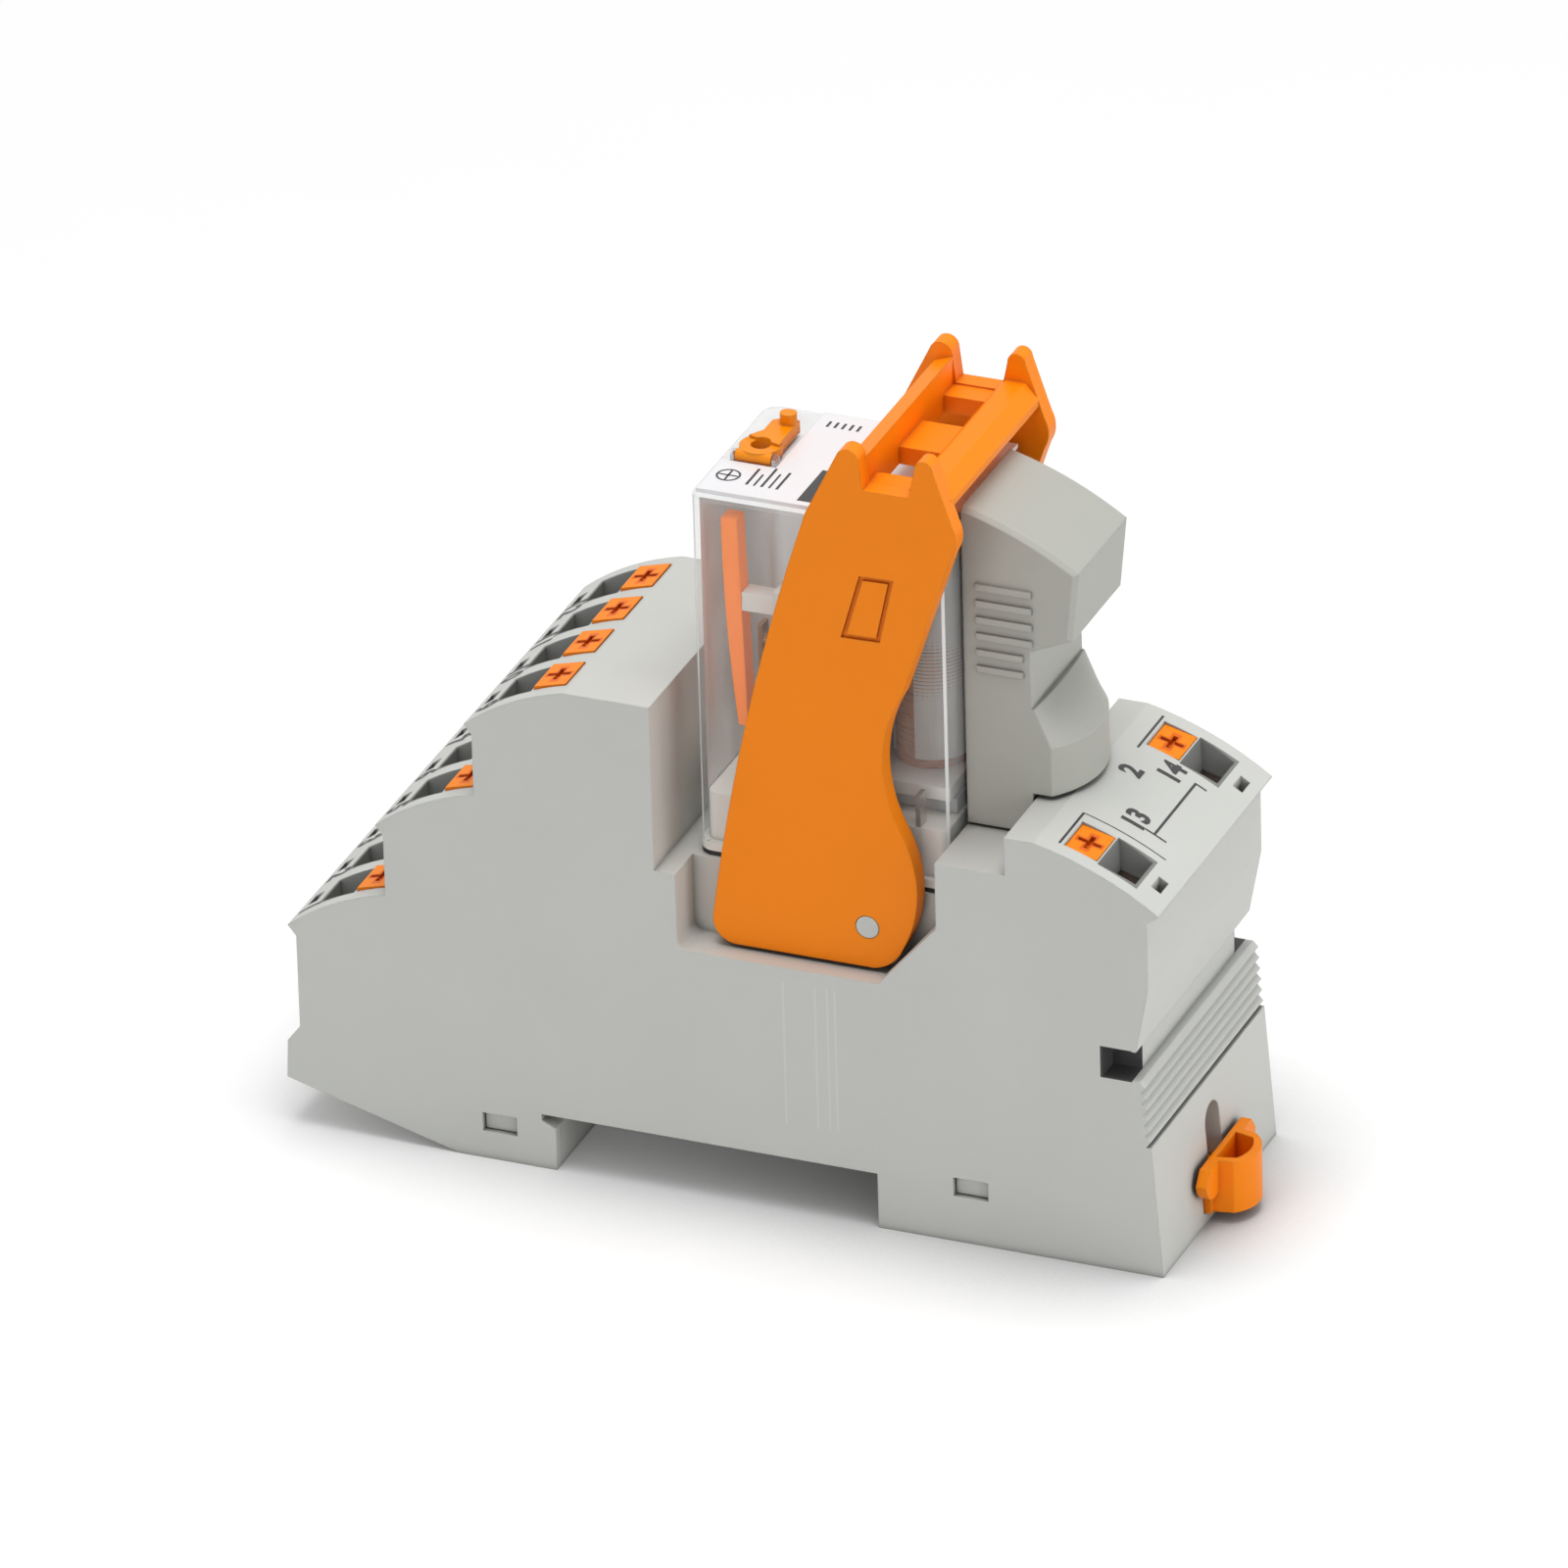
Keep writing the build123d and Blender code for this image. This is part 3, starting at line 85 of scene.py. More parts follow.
def high_corner(node):
    """Highest corner of a node's box."""
    return Vector(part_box(node)[1])


BUTTON_FOOT = 3.4 * MM  # tip of a tier above the underside of its buttons
BUTTON_FROM_TIP = 8.6 * MM
FUNNEL_FROM_TIP = 4.65 * MM
FUNNEL_FROM_COIL_BUTTON = 3.95 * MM
FUNNEL_HALF_LENGTH = 2.05 * MM
FUNNEL_HALF_WIDTH = 2.75 * MM
FUNNEL_DEPTH = 3.0 * MM  # below the tip of the tier
COIL_FUNNEL_Y = (8.2 * MM, 14.0 * MM)
COIL_FUNNEL_Z = 36.0 * MM
TIER_BACK_X = -12.0 * MM
POCKET_X = (41.6 * MM, 44.95 * MM)
POCKET_Z = (21.5 * MM, 25.0 * MM)
POCKET_REACH = 3.0 * MM
RIDGE_X = (8.0 * MM, 11.4 * MM, 12.7 * MM, 13.5 * MM)
RIDGE_Z = (10.0 * MM, 26.0 * MM)
RIDGE_HALF_WIDTH = 0.10 * MM
CROSS_HALF_X = 1.45 * MM
CROSS_HALF_Y = 1.75 * MM
CROSS_HALF_BAR = 0.5 * MM
CROSS_DEPTH = 3.0 * MM
MARK_FROM_TIP = 1.45 * MM
MARK_BESIDE_COLUMN = 2.35 * MM


def tier_tip(tier):
    """X and Z of the front tip of a tier, found from its first button."""
    button = f"{tier}_1_button"
    return middle(button).x - BUTTON_FROM_TIP, low_corner(button).z + BUTTON_FOOT


def column_y(column):
    """Y of a column of terminals, found from the lower tier's buttons."""
    return middle(f"lower_{column + 1}_button").y


def arc_through(first, second, third):
    """Height of the circular arc through three points, as a function of X."""
    (ax, az), (bx, bz), (cx, cz) = first, second, third
    system = np.array([[2 * (bx - ax), 2 * (bz - az)], [2 * (cx - ax), 2 * (cz - az)]])
    right = np.array([bx**2 - ax**2 + bz**2 - az**2, cx**2 - ax**2 + cz**2 - az**2])
    centre_x, centre_z = np.linalg.solve(system, right)
    radius = math.hypot(ax - centre_x, az - centre_z)

    def height(x):
        return centre_z + np.sqrt(radius**2 - (np.asarray(x) - centre_x) ** 2)

    return height


TIER_ARC = arc_through((0, 0), (4.9 * MM, 3.2 * MM), (10.8 * MM, 5.3 * MM))
COIL_ARC = arc_through(
    (35.0 * MM, 46.4 * MM), (42.5 * MM, 43.8 * MM), (48.1 * MM, 40.5 * MM)
)


# Sizes and colours that a user would change

class FinishSettings(bpy.types.PropertyGroup):
    """Colours and grain of the finishes."""

    housing: FloatVectorProperty(
        name="Housing grey", description="Colour of the grey mouldings",
        subtype="COLOR", size=3, min=0, max=1, default=(0.575, 0.585, 0.555),
    )
    module: FloatVectorProperty(
        name="Module grey", description="Colour of the plug-in module",
        subtype="COLOR", size=3, min=0, max=1, default=(0.42, 0.425, 0.385),
    )
    # Painted shade: the dark grey inside the wire funnels stands in for the shade there.
    entry: FloatVectorProperty(
        name="Wire entry grey", description="Colour inside the wire funnels",
        subtype="COLOR", size=3, min=0, max=1, default=(0.20, 0.205, 0.195),
    )
    orange: FloatVectorProperty(
        name="Orange", description="Colour of the bracket, latch and buttons",
        subtype="COLOR", size=3, min=0, max=1, default=(1.0, 0.25, 0.0),
    )
    amber: FloatVectorProperty(
        name="Amber", description="Colour of the test lever",
        subtype="COLOR", size=3, min=0, max=1, default=(0.92, 0.28, 0.0),
    )
    cream: FloatVectorProperty(
        name="Cream", description="Colour of the relay's inner mouldings",
        subtype="COLOR", size=3, min=0, max=1, default=(0.80, 0.80, 0.75),
    )
    label: FloatVectorProperty(
        name="Label white", description="Colour of the label plate",
        subtype="COLOR", size=3, min=0, max=1, default=(0.84, 0.84, 0.86),
    )
    ink: FloatVectorProperty(
        name="Ink", description="Colour of the printed marks",
        subtype="COLOR", size=3, min=0, max=1, default=(0.03, 0.03, 0.032),
    )
    cover_alpha: FloatProperty(
        name="Cover haze", description="How much the near wall of the clear cover hides",
        subtype="FACTOR", min=0, max=1, default=0.06,
    )
    cover_depth: FloatProperty(
        name="Cover depth", description="How much the far wall of the clear cover hides",
        subtype="FACTOR", min=0, max=1, default=0.82,
    )
    grain: FloatProperty(
        name="Mould grain", description="Size of the grain on the mouldings",
        subtype="DISTANCE", unit="LENGTH", min=0.00005, default=0.00022,
    )
    edge: FloatProperty(
        name="Edge radius", description="Rounding of the moulded edges",
        subtype="DISTANCE", unit="LENGTH", min=0, default=0.00025,
    )


class WindingSettings(bpy.types.PropertyGroup):
    """The coil's copper winding."""

    turns: IntProperty(
        name="Turns shown", description="Turns in the outer layer of the winding",
        min=8, default=56,
    )
    wire: FloatProperty(
        name="Wire proud", description="How far each turn stands out of the layer",
        subtype="DISTANCE", unit="LENGTH", min=0, default=0.00012,
    )


class PrintSettings(bpy.types.PropertyGroup):
    """Printed numbers and lines."""

    height: FloatProperty(
        name="Figure height", description="Height of the terminal numbers",
        subtype="DISTANCE", unit="LENGTH", min=0.0005, default=0.0022,
    )
    line: FloatProperty(
        name="Line width", description="Width of the printed lines",
        subtype="DISTANCE", unit="LENGTH", min=0.00005, default=0.00024,
    )
    lift: FloatProperty(
        name="Ink lift", description="How far the ink stands on the surface",
        subtype="DISTANCE", unit="LENGTH", min=0, default=0.00002,
    )


class StageSettings(bpy.types.PropertyGroup):
    """Camera, floor and light."""

    azimuth: FloatProperty(
        name="Camera azimuth", description="Angle of the camera round the part",
        subtype="ANGLE", unit="ROTATION", default=0.4012123,
    )
    elevation: FloatProperty(
        name="Camera elevation", description="Angle of the camera above the horizon",
        subtype="ANGLE", unit="ROTATION", default=0.4906424,
    )
    roll: FloatProperty(
        name="Camera roll", description="Turn of the camera about its line of sight",
        subtype="ANGLE", unit="ROTATION", default=-0.0288348,
    )
    distance: FloatProperty(
        name="Camera distance", description="Distance from the camera to the part",
        subtype="DISTANCE", unit="LENGTH", default=2.0,
    )
    target: FloatVectorProperty(
        name="Camera target", description="Point at the middle of the picture",
        subtype="XYZ", unit="LENGTH", size=3, default=(0.0021902, 0.0, 0.0392778),
    )
    lens: FloatProperty(
        name="Lens", description="Focal length on a 36 mm sensor",
        subtype="DISTANCE_CAMERA", default=463.43,
    )
    sky: FloatProperty(
        name="Room light", description="Strength of the even light from all sides",
        min=0, default=0.42,
    )


# Shader maths

class Number:
    """A number socket of a shader; sums and products of it add Math nodes."""

    def __init__(self, shader, socket):
        self.shader = shader
        self.socket = socket

    def _math(self, operation, *values):
        return Number(self.shader, self.shader.node(
            "ShaderNodeMath", {"operation": operation}, dict(enumerate(values))).outputs[0])

    def __add__(self, other):
        return self._math("ADD", self, other)

    def __sub__(self, other):
        return self._math("SUBTRACT", self, other)

    def __mul__(self, other):
        return self._math("MULTIPLY", self, other)

    def __truediv__(self, other):
        return self._math("DIVIDE", self, other)

    def __radd__(self, other):
        return self._math("ADD", other, self)

    def __rsub__(self, other):
        return self._math("SUBTRACT", other, self)

    def __rmul__(self, other):
        return self._math("MULTIPLY", other, self)

    def __gt__(self, other):
        return self._math("GREATER_THAN", self, other)

    def __lt__(self, other):
        return self._math("LESS_THAN", self, other)

    def size(self):
        return self._math("ABSOLUTE", self)

    def fraction(self):
        return self._math("FRACT", self)

    def clamp(self):
        return Number(self.shader, self.shader.node("ShaderNodeClamp", {}, {0: self}).outputs[0])

    def within(self, low, high):
        """1 between two values, 0 outside them."""
        return (self > low) * (self < high)


class Shader:
    """A material, or the world, and the nodes that are added to it."""

    def __init__(self, name, world=None):
        self.owner = world or bpy.data.materials.get(name) or bpy.data.materials.new(name)
        self.owner.use_nodes = True
        self.tree = self.owner.node_tree
        self.tree.nodes.clear()

    def node(self, kind, settings=None, inputs=None):
        """Adds a node, its settings first, then its inputs by name or place."""
        made = self.tree.nodes.new(kind)
        for name, value in (settings or {}).items():
            setattr(made, name, value)
        for name, value in (inputs or {}).items():
            socket = made.inputs[name]
            if isinstance(value, Number):
                self.tree.links.new(value.socket, socket)
            elif isinstance(value, bpy.types.NodeSocket):
                self.tree.links.new(value, socket)
            elif hasattr(value, "__len__") and len(value) == 3 and len(socket.default_value) == 4:
                socket.default_value = (*value, 1)
            else:
                socket.default_value = value
        return made

    def place(self):
        """Object coordinates as a vector socket and three numbers."""
        vector = self.node("ShaderNodeTexCoord").outputs["Object"]
        split = self.node("ShaderNodeSeparateXYZ", {}, {0: vector})
        return vector, [Number(self, split.outputs[axis]) for axis in range(3)]

    def stretch(self, vector, factors):
        """The vector, each axis times a factor."""
        return self.node(
            "ShaderNodeVectorMath", {"operation": "MULTIPLY"}, {0: vector, 1: factors}
        ).outputs[0]

    def noise(self, vector, scale, detail=2.0, roughness=0.5):
        """Cloudy values between 0 and 1."""
        made = self.node("ShaderNodeTexNoise", {}, {
            "Vector": vector, "Scale": scale, "Detail": detail, "Roughness": roughness})
        return Number(self, made.outputs[0])

    def cells(self, vector, scale):
        """Distance to the nearest of many scattered points."""
        made = self.node("ShaderNodeTexVoronoi", {}, {"Vector": vector, "Scale": scale})
        return Number(self, made.outputs["Distance"])

    def blend(self, factor, first, second):
        """Two colours mixed by a factor."""
        made = self.node(
            "ShaderNodeMix", {"data_type": "RGBA"}, {0: factor, 6: first, 7: second})
        return made.outputs[2]

    def rounded(self, radius):
        """Normal of the surface with its edges rounded to a radius."""
        return self.node("ShaderNodeBevel", {"samples": 3}, {"Radius": radius}).outputs[0]

    def corners(self, rounded):
        """1 on the rounded part of an edge, 0 on the flats beside it."""
        flat = self.node("ShaderNodeNewGeometry").outputs["True Normal"]
        agreement = Number(self, self.node(
            "ShaderNodeVectorMath", {"operation": "DOT_PRODUCT"}, {0: rounded, 1: flat}
        ).outputs["Value"])
        return ((1 - agreement) * 8).clamp()

    def hollows(self, reach, alone=False):
        """1 deep in a groove or corner, 0 in the open; alone looks at the one object only."""
        made = self.node("ShaderNodeAmbientOcclusion", {"samples": 4, "only_local": alone},
                         {"Distance": reach})
        return 1 - Number(self, made.outputs["AO"])

    def relief(self, height, strength, distance, normal=None):
        """Normal of a bumpy surface, over another normal if there is one."""
        inputs = {"Height": height, "Strength": strength, "Distance": distance}
        if normal is not None:
            inputs["Normal"] = normal
        return self.node("ShaderNodeBump", {}, inputs).outputs[0]

    def surface(self, **inputs):
        """The Principled shader, linked to the output."""
        names = {name.replace("_", " "): value for name, value in inputs.items()}
        shader = self.node("ShaderNodeBsdfPrincipled", {}, names)
        self.node("ShaderNodeOutputMaterial", {}, {"Surface": shader.outputs[0]})
        return self.owner


# Finishes

def funnel_shade_mask(place):
    """1 inside the wire funnels of the tiers and the coil block, from their places, where painted
    shade goes.
    """
    x, y, z = place
    pitch = column_y(1) - column_y(0)
    column = ((y / pitch).fraction() - 0.5).size() < FUNNEL_HALF_WIDTH / pitch
    inside = 0.0
    for tier in TIERS:
        tip_x, tip_z = tier_tip(tier)
        entry = tip_x + FUNNEL_FROM_TIP
        long_x = (x - entry).size() < FUNNEL_HALF_LENGTH
        inside = inside + long_x * (z > tip_z - FUNNEL_DEPTH)
    tiers = inside * column * (x < TIER_BACK_X)
    coil_entry = middle("coil_1_button").x + FUNNEL_FROM_COIL_BUTTON
    coil = ((x - coil_entry).size() < FUNNEL_HALF_LENGTH) * y.size().within(*COIL_FUNNEL_Y)
    return (tiers + coil * (z > COIL_FUNNEL_Z)).clamp()


def socket_gap_shadow(place):
    """1 in the seam between the relay's foot and the top of its socket, where painted shadow goes.
    """
    _, _, z = place
    seam = low_corner("relay_cover").z - 0.9 * MM
    return z.within(seam - 2 * MM, seam)


def end_pocket_shade(place):
    """1 inside the pockets at both ends of the groove in the coil block's end, where painted shade
    goes.
    """
    x, y, z = place
    side = high_corner("base_housing").y - POCKET_REACH
    return x.within(*POCKET_X) * (y.size() > side) * z.within(*POCKET_Z)


def front_ridges(place):
    """1 on the faint upright sink lines of the base's front wall."""
    x, y, z = place
    lines = 0.0
    for line_x in RIDGE_X:
        lines = lines + ((x - line_x).size() < RIDGE_HALF_WIDTH)
    return lines * (y < low_corner("base_housing").y + 0.1 * MM) * z.within(*RIDGE_Z)


def cross_shade_mask(place):
    """1 in and close round the driver crosses of the release buttons, where painted shade goes."""
    x, y, z = place
    marks = 0.0
    for tier in (*TIERS, "coil"):
        top = high_corner(f"{tier}_1_button").z
        from_x = (x - middle(f"{tier}_1_button").x).size()
        for column in range(1, 3 if tier == "coil" else COLUMNS + 1):
            from_y = (y - middle(f"{tier}_{column}_button").y).size()
            bars = ((from_x < CROSS_HALF_X) * (from_y < CROSS_HALF_BAR)
                    + (from_y < CROSS_HALF_Y) * (from_x < CROSS_HALF_BAR))
            marks = marks + bars.clamp() * z.within(top - CROSS_DEPTH, top)
    return marks.clamp()


def moulded(name, colour, grain, edge, roughness=0.5, gloss=0.42, shade=None, masks=(),
            alone=False, glow=0.0):
    """Spark-textured moulding: fine grain, faint flow clouds, a painted highlight on the rounded
    edges and painted shade in the hollows.

    Each mask is a function of the place and the colour that it brings in.
    """
    shader = Shader(name)
    vector, place = shader.place()
    clouds = shader.noise(vector, 60, 3)
    fine = shader.noise(vector, 1 / grain, 3, 0.6)
    darker = tuple(0.95 * channel for channel in colour)
    lighter = tuple(min(1.0, 1.03 * channel) for channel in colour)
    base = shader.blend(clouds, darker, lighter)
    rounded = shader.rounded(edge)
    # Painted highlight: the rounded edges are made lighter than the flats beside them.
    edge_highlight = tuple(min(1.0, 1.45 * channel + 0.02) for channel in colour)
    base = shader.blend(shader.corners(rounded) * 0.55, base, edge_highlight)
    for mask, tint in masks:
        base = shader.blend(mask(place), base, tint)
    # Painted shade: the colour goes towards the shade colour in grooves, corners and hollows.
    painted_hollow_shade = shader.hollows(1.5 * MM, alone)
    shade = shade or tuple(0.12 * channel for channel in colour)
    base = shader.blend((painted_hollow_shade * 1.4 - 0.28).clamp(), base, shade)
    pits = shader.cells(vector, 0.6 / grain)
    height = fine * 0.7 + pits * 0.3
    return shader.surface(
        Base_Color=base,
        Roughness=roughness + (fine - 0.5) * 0.14 + (clouds - 0.5) * 0.06,
        Specular_IOR_Level=gloss,
        Emission_Color=colour,
        Emission_Strength=glow,
        Normal=shader.relief(height, 0.35, 0.04 * MM, rounded),
    )


def clear_cover(name, near, far):
    """Clear polycarbonate: its near wall is clear and its far wall is milky grey.

    A wall is far where the ray meets its inner face from the inside of the relay.
    """
    shader = Shader(name)
    vector, (x, y, z) = shader.place()
    low, high = low_corner("relay_cover"), high_corner("relay_cover")
    wall = 0.35 * MM
    inner = (x.within(low.x + wall, high.x - wall) * y.within(low.y + wall, high.y - wall)
             * (z < high.z - wall))
    behind = Number(shader, shader.node("ShaderNodeNewGeometry").outputs["Backfacing"])
    facing = Number(shader, shader.node("ShaderNodeLayerWeight", {}, {"Blend": 0.32}).outputs[1])
    haze = shader.noise(shader.stretch(vector, (1, 1, 0.4)), 140, 3)
    swirls = shader.noise(shader.stretch(vector, (1, 1, 0.35)), 130, 2)
    rounded = shader.rounded(0.6 * MM)
    # Light and shadow pass through, so that the inside stays bright
    path = shader.node("ShaderNodeLightPath").outputs
    shadow, diffuse = (Number(shader, path[ray]) for ray in ("Is Shadow Ray", "Is Diffuse Ray"))
    seen = (1 - shadow) * (1 - diffuse)
    return shader.surface(
        Base_Color=shader.blend(haze, (0.58, 0.60, 0.61), (0.92, 0.93, 0.92)),
        Roughness=0.12 + haze * 0.10,
        # The rounded edges are made a little more opaque, a painted highlight along them.
        Alpha=seen * (inner * (1 - behind) * far + near + facing * 0.25
                      + shader.corners(rounded) * 0.08).clamp(),
        Specular_IOR_Level=0.35,
        Normal=shader.relief(swirls, 0.12, 0.1 * MM, rounded),
    )


def metal(name, colour, roughness, along, scale=900, edge=0.0001):
    """Rolled or plated strip: fine brushing along one axis and slight tarnish."""
    shader = Shader(name)
    vector, _ = shader.place()
    stretch = [1.0, 1.0, 1.0]
    stretch[along] = 0.06
    brushing = shader.noise(shader.stretch(vector, stretch), scale, 2)
    tarnish = shader.noise(vector, 120, 3)
    dull = tuple(0.80 * channel for channel in colour)
    return shader.surface(
        Base_Color=shader.blend(tarnish, dull, colour),
        Metallic=1.0,
        Roughness=roughness + (brushing - 0.5) * 0.25 + (tarnish - 0.5) * 0.1,
        Normal=shader.relief(brushing, 0.25, 0.02 * MM, shader.rounded(edge)),
    )


def enamelled_wire(name):
    """Copper wire under a clear brown enamel, a little uneven from turn to turn."""
    shader = Shader(name)
    vector, _ = shader.place()
    turn = shader.noise(shader.stretch(vector, (0.2, 0.2, 3.0)), 800, 2)
    patch = shader.noise(vector, 250, 2)
    return shader.surface(
        Base_Color=shader.blend(turn * 0.7 + patch * 0.3, (0.40, 0.13, 0.04), (0.78, 0.32, 0.11)),
        Metallic=0.35,
        Roughness=0.30 + (turn - 0.5) * 0.2,
        Coat_Weight=0.6,
    )


def paper_tape(name):
    """Pale wrap tape with faint upright creases, painted darker down in them as shade."""
    shader = Shader(name)
    vector, _ = shader.place()
    creases_and_shade = shader.noise(shader.stretch(vector, (1, 1, 0.12)), 900, 3)
    return shader.surface(
        # Painted shade: the colour is darker down in the creases.
        Base_Color=shader.blend(creases_and_shade, (0.50, 0.49, 0.45), (0.86, 0.85, 0.82)),
        Roughness=0.42 + (creases_and_shade - 0.5) * 0.15,
        Normal=shader.relief(creases_and_shade, 0.25, 0.05 * MM),
    )


def printed_ink(name, colour):
    """Matt pad-printing ink with thin patches."""
    shader = Shader(name)
    vector, _ = shader.place()
    patch = shader.noise(vector, 2500, 3)
    lighter = tuple(channel + 0.05 for channel in colour)
    return shader.surface(
        Base_Color=shader.blend((patch - 0.35) * 1.4, colour, lighter),
        Roughness=0.55 + (patch - 0.5) * 0.2,
    )


def label_film(name, colour):
    """Smooth white label plate with a soft orange-peel sheen."""
    shader = Shader(name)
    vector, _ = shader.place()
    peel = shader.noise(vector, 700, 2)
    clouds = shader.noise(vector, 80, 2)
    greyer = tuple(0.95 * channel for channel in colour)
    return shader.surface(
        Base_Color=shader.blend(clouds, greyer, colour),
        Roughness=0.34 + (peel - 0.5) * 0.1,
        Normal=shader.relief(peel, 0.12, 0.02 * MM, shader.rounded(0.1 * MM)),
    )


def solder_mask(name):
    """Green board with a faint weave of the glass cloth under the lacquer."""
    shader = Shader(name)
    _, (x, _, z) = shader.place()
    threads = 1400  # in a metre
    weave = ((x * threads).fraction() - 0.5).size() + ((z * threads).fraction() - 0.5).size()
    return shader.surface(
        Base_Color=shader.blend(weave, (0.008, 0.08, 0.03), (0.015, 0.13, 0.05)),
        Roughness=0.35 + (weave - 0.5) * 0.05,
        Normal=shader.relief(weave, 0.2, 0.02 * MM),
    )


# Meshes

def mesh_piece(name, points, faces, material, body, smooth=True):
    """A piece from arrays of points and faces, riding on a body."""
    mesh = bpy.data.meshes.new(name)
    mesh.from_pydata(np.asarray(points, float).tolist(), [], [tuple(f) for f in faces])
    mesh.update()
    mesh.validate()
    mesh.polygons.foreach_set("use_smooth", [smooth] * len(mesh.polygons))
    piece = bpy.data.objects.new(name, mesh)
    bpy.context.scene.collection.objects.link(piece)
    mesh.materials.append(material)
    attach(piece, body)
    return piece


def grid_faces(rows, columns, closed_rows=False, closed_columns=False):
    """Quads of a grid of points, in rows, optionally closed along either side."""
    row_count = rows if closed_rows else rows - 1
    column_count = columns if closed_columns else columns - 1
    row, column = np.meshgrid(np.arange(row_count), np.arange(column_count), indexing="ij")
    next_row = (row + 1) % rows
    next_column = (column + 1) % columns
    corners = [row * columns + column, row * columns + next_column,
               next_row * columns + next_column, next_row * columns + column]
    return np.stack(corners, axis=-1).reshape(-1, 4)


def joined(parts):
    """Several (points, faces) pairs as one."""
    points, faces, start = [], [], 0
    for some_points, some_faces in parts:
        points.append(np.asarray(some_points, float))
        faces += [tuple(int(index) + start for index in face) for face in some_faces]
        start += len(some_points)
    return np.concatenate(points), faces


def figures(text, height):
    """Flat outline of a number, centred, as points in its plane and faces."""
    curve = bpy.data.curves.new("figures", "FONT")
    curve.body = text
    curve.size = height / 0.7
    curve.align_x = "CENTER"
    curve.align_y = "CENTER"
    curve.resolution_u = 3
    curve.offset = 0.04 * curve.size
    carrier = bpy.data.objects.new("figures", curve)
    mesh = bpy.data.meshes.new_from_object(carrier)
    # Cut across at several heights, so that the ink can follow a curved surface
    cut = bmesh.new()
    cut.from_mesh(mesh)
    for level in np.linspace(-0.55, 0.55, 9) * height:
        bmesh.ops.bisect_plane(cut, geom=[*cut.verts, *cut.edges, *cut.faces],
                               plane_co=(0, level, 0), plane_no=(0, 1, 0))
    cut.to_mesh(mesh)
    cut.free()
    flat = np.empty(len(mesh.vertices) * 3)
    mesh.vertices.foreach_get("co", flat)
    faces = [tuple(polygon.vertices) for polygon in mesh.polygons]
    bpy.data.objects.remove(carrier)
    bpy.data.curves.remove(curve)
    bpy.data.meshes.remove(mesh)
    return flat.reshape(-1, 3)[:, :2], faces


def ribbon(start, end, width, steps=12):
    """Straight printed line between two points of a plane, as a strip of quads."""
    start, end = np.array(start), np.array(end)
    along = (end - start) / np.linalg.norm(end - start)
    across = np.array([-along[1], along[0]]) * width / 2
    t = np.linspace(0, 1, steps)[:, None]
    line = start + (end - start) * t
    points = np.stack([line + across, line - across], axis=1).reshape(-1, 2)
    return points, grid_faces(steps, 2)


def laid(points, surface, lift):
    """Plane points in X and Y, laid on a surface whose height is a function of X."""
    return np.column_stack([points, surface(points[:, 0]) + lift])


# Operators

def settings():
    return bpy.context.scene.relay_looks


class RELAY_OT_finishes(bpy.types.Operator):
    """Gives every rigid node its finish"""

    bl_idname = "relay.finishes"
    bl_label = "Finishes"

    def execute(self, context):
        finish = settings().finish
        grain, edge = finish.grain, finish.edge
        made = {
            # The housing's wire funnels and end pockets get painted shade: their insides are
            # coloured dark.
            "housing_grey": moulded(
                "housing_grey", finish.housing, grain, edge, 0.52,
                masks=((funnel_shade_mask, finish.entry), (end_pocket_shade, (0.05, 0.05, 0.05)),
                       (front_ridges, tuple(1.07 * channel for channel in finish.housing)))),
            "insert_grey": moulded("insert_grey", finish.housing, grain, edge, 0.52),
            # The driver crosses get painted shade: a darker orange in and round their slots.
            "orange_plastic": moulded(
                "orange_plastic", finish.orange, grain, edge, 0.44, 0.22, (0.42, 0.045, 0.0),
                masks=((cross_shade_mask, (0.80, 0.14, 0.0)),)),
            # The indicator glows a little: painted light standing in for light through its orange
            # plastic.
            "orange_indicator": moulded(
                "orange_indicator", (1.0, 0.23, 0.01), grain, edge, 0.4, 0.12, (0.7, 0.12, 0.0),
                alone=True, glow=0.18),
            "amber_plastic": moulded(
                "amber_plastic", finish.amber, grain, edge, 0.32, 0.25, (0.35, 0.07, 0.0)),
            "clear_cover": clear_cover("clear_cover", finish.cover_alpha, finish.cover_depth),
            # Painted shadow: the seam under the relay's foot is coloured nearly black.
            "cream_plastic": moulded(
                "cream_plastic", finish.cream, grain, edge, 0.45,
                masks=((socket_gap_shadow, (0.02, 0.02, 0.02)),), alone=True),
            "white_label": label_film("white_label", finish.label),
            "spring_steel": metal("spring_steel", (0.60, 0.60, 0.62), 0.28, 0),
            "tinned_copper": metal("tinned_copper", (0.66, 0.63, 0.58), 0.32, 0),
            "contact_brass": metal("contact_brass", (0.66, 0.40, 0.18), 0.30, 2),
            "magnet_steel": metal("magnet_steel", (0.50, 0.51, 0.53), 0.36, 2),
            "circuit_board": solder_mask("circuit_board"),
            "black_epoxy": moulded("black_epoxy", (0.02, 0.02, 0.022), grain, edge, 0.4),
        }
        module = moulded("module_grey", finish.module, grain, edge, 0.50)
        for subpart in frame["record"]["subparts"]:
            node, slot = subpart["node"], subpart["material_slot"]
            chosen = module if node == "module_housing" else made.get(slot)
            if chosen is not None:
                materials = frame["nodes"][node].data.materials
                materials.clear()
                materials.append(chosen)
        printed_ink("printed_ink", finish.ink)
        enamelled_wire("enamelled_wire")
        paper_tape("coil_tape")
        return {"FINISHED"}


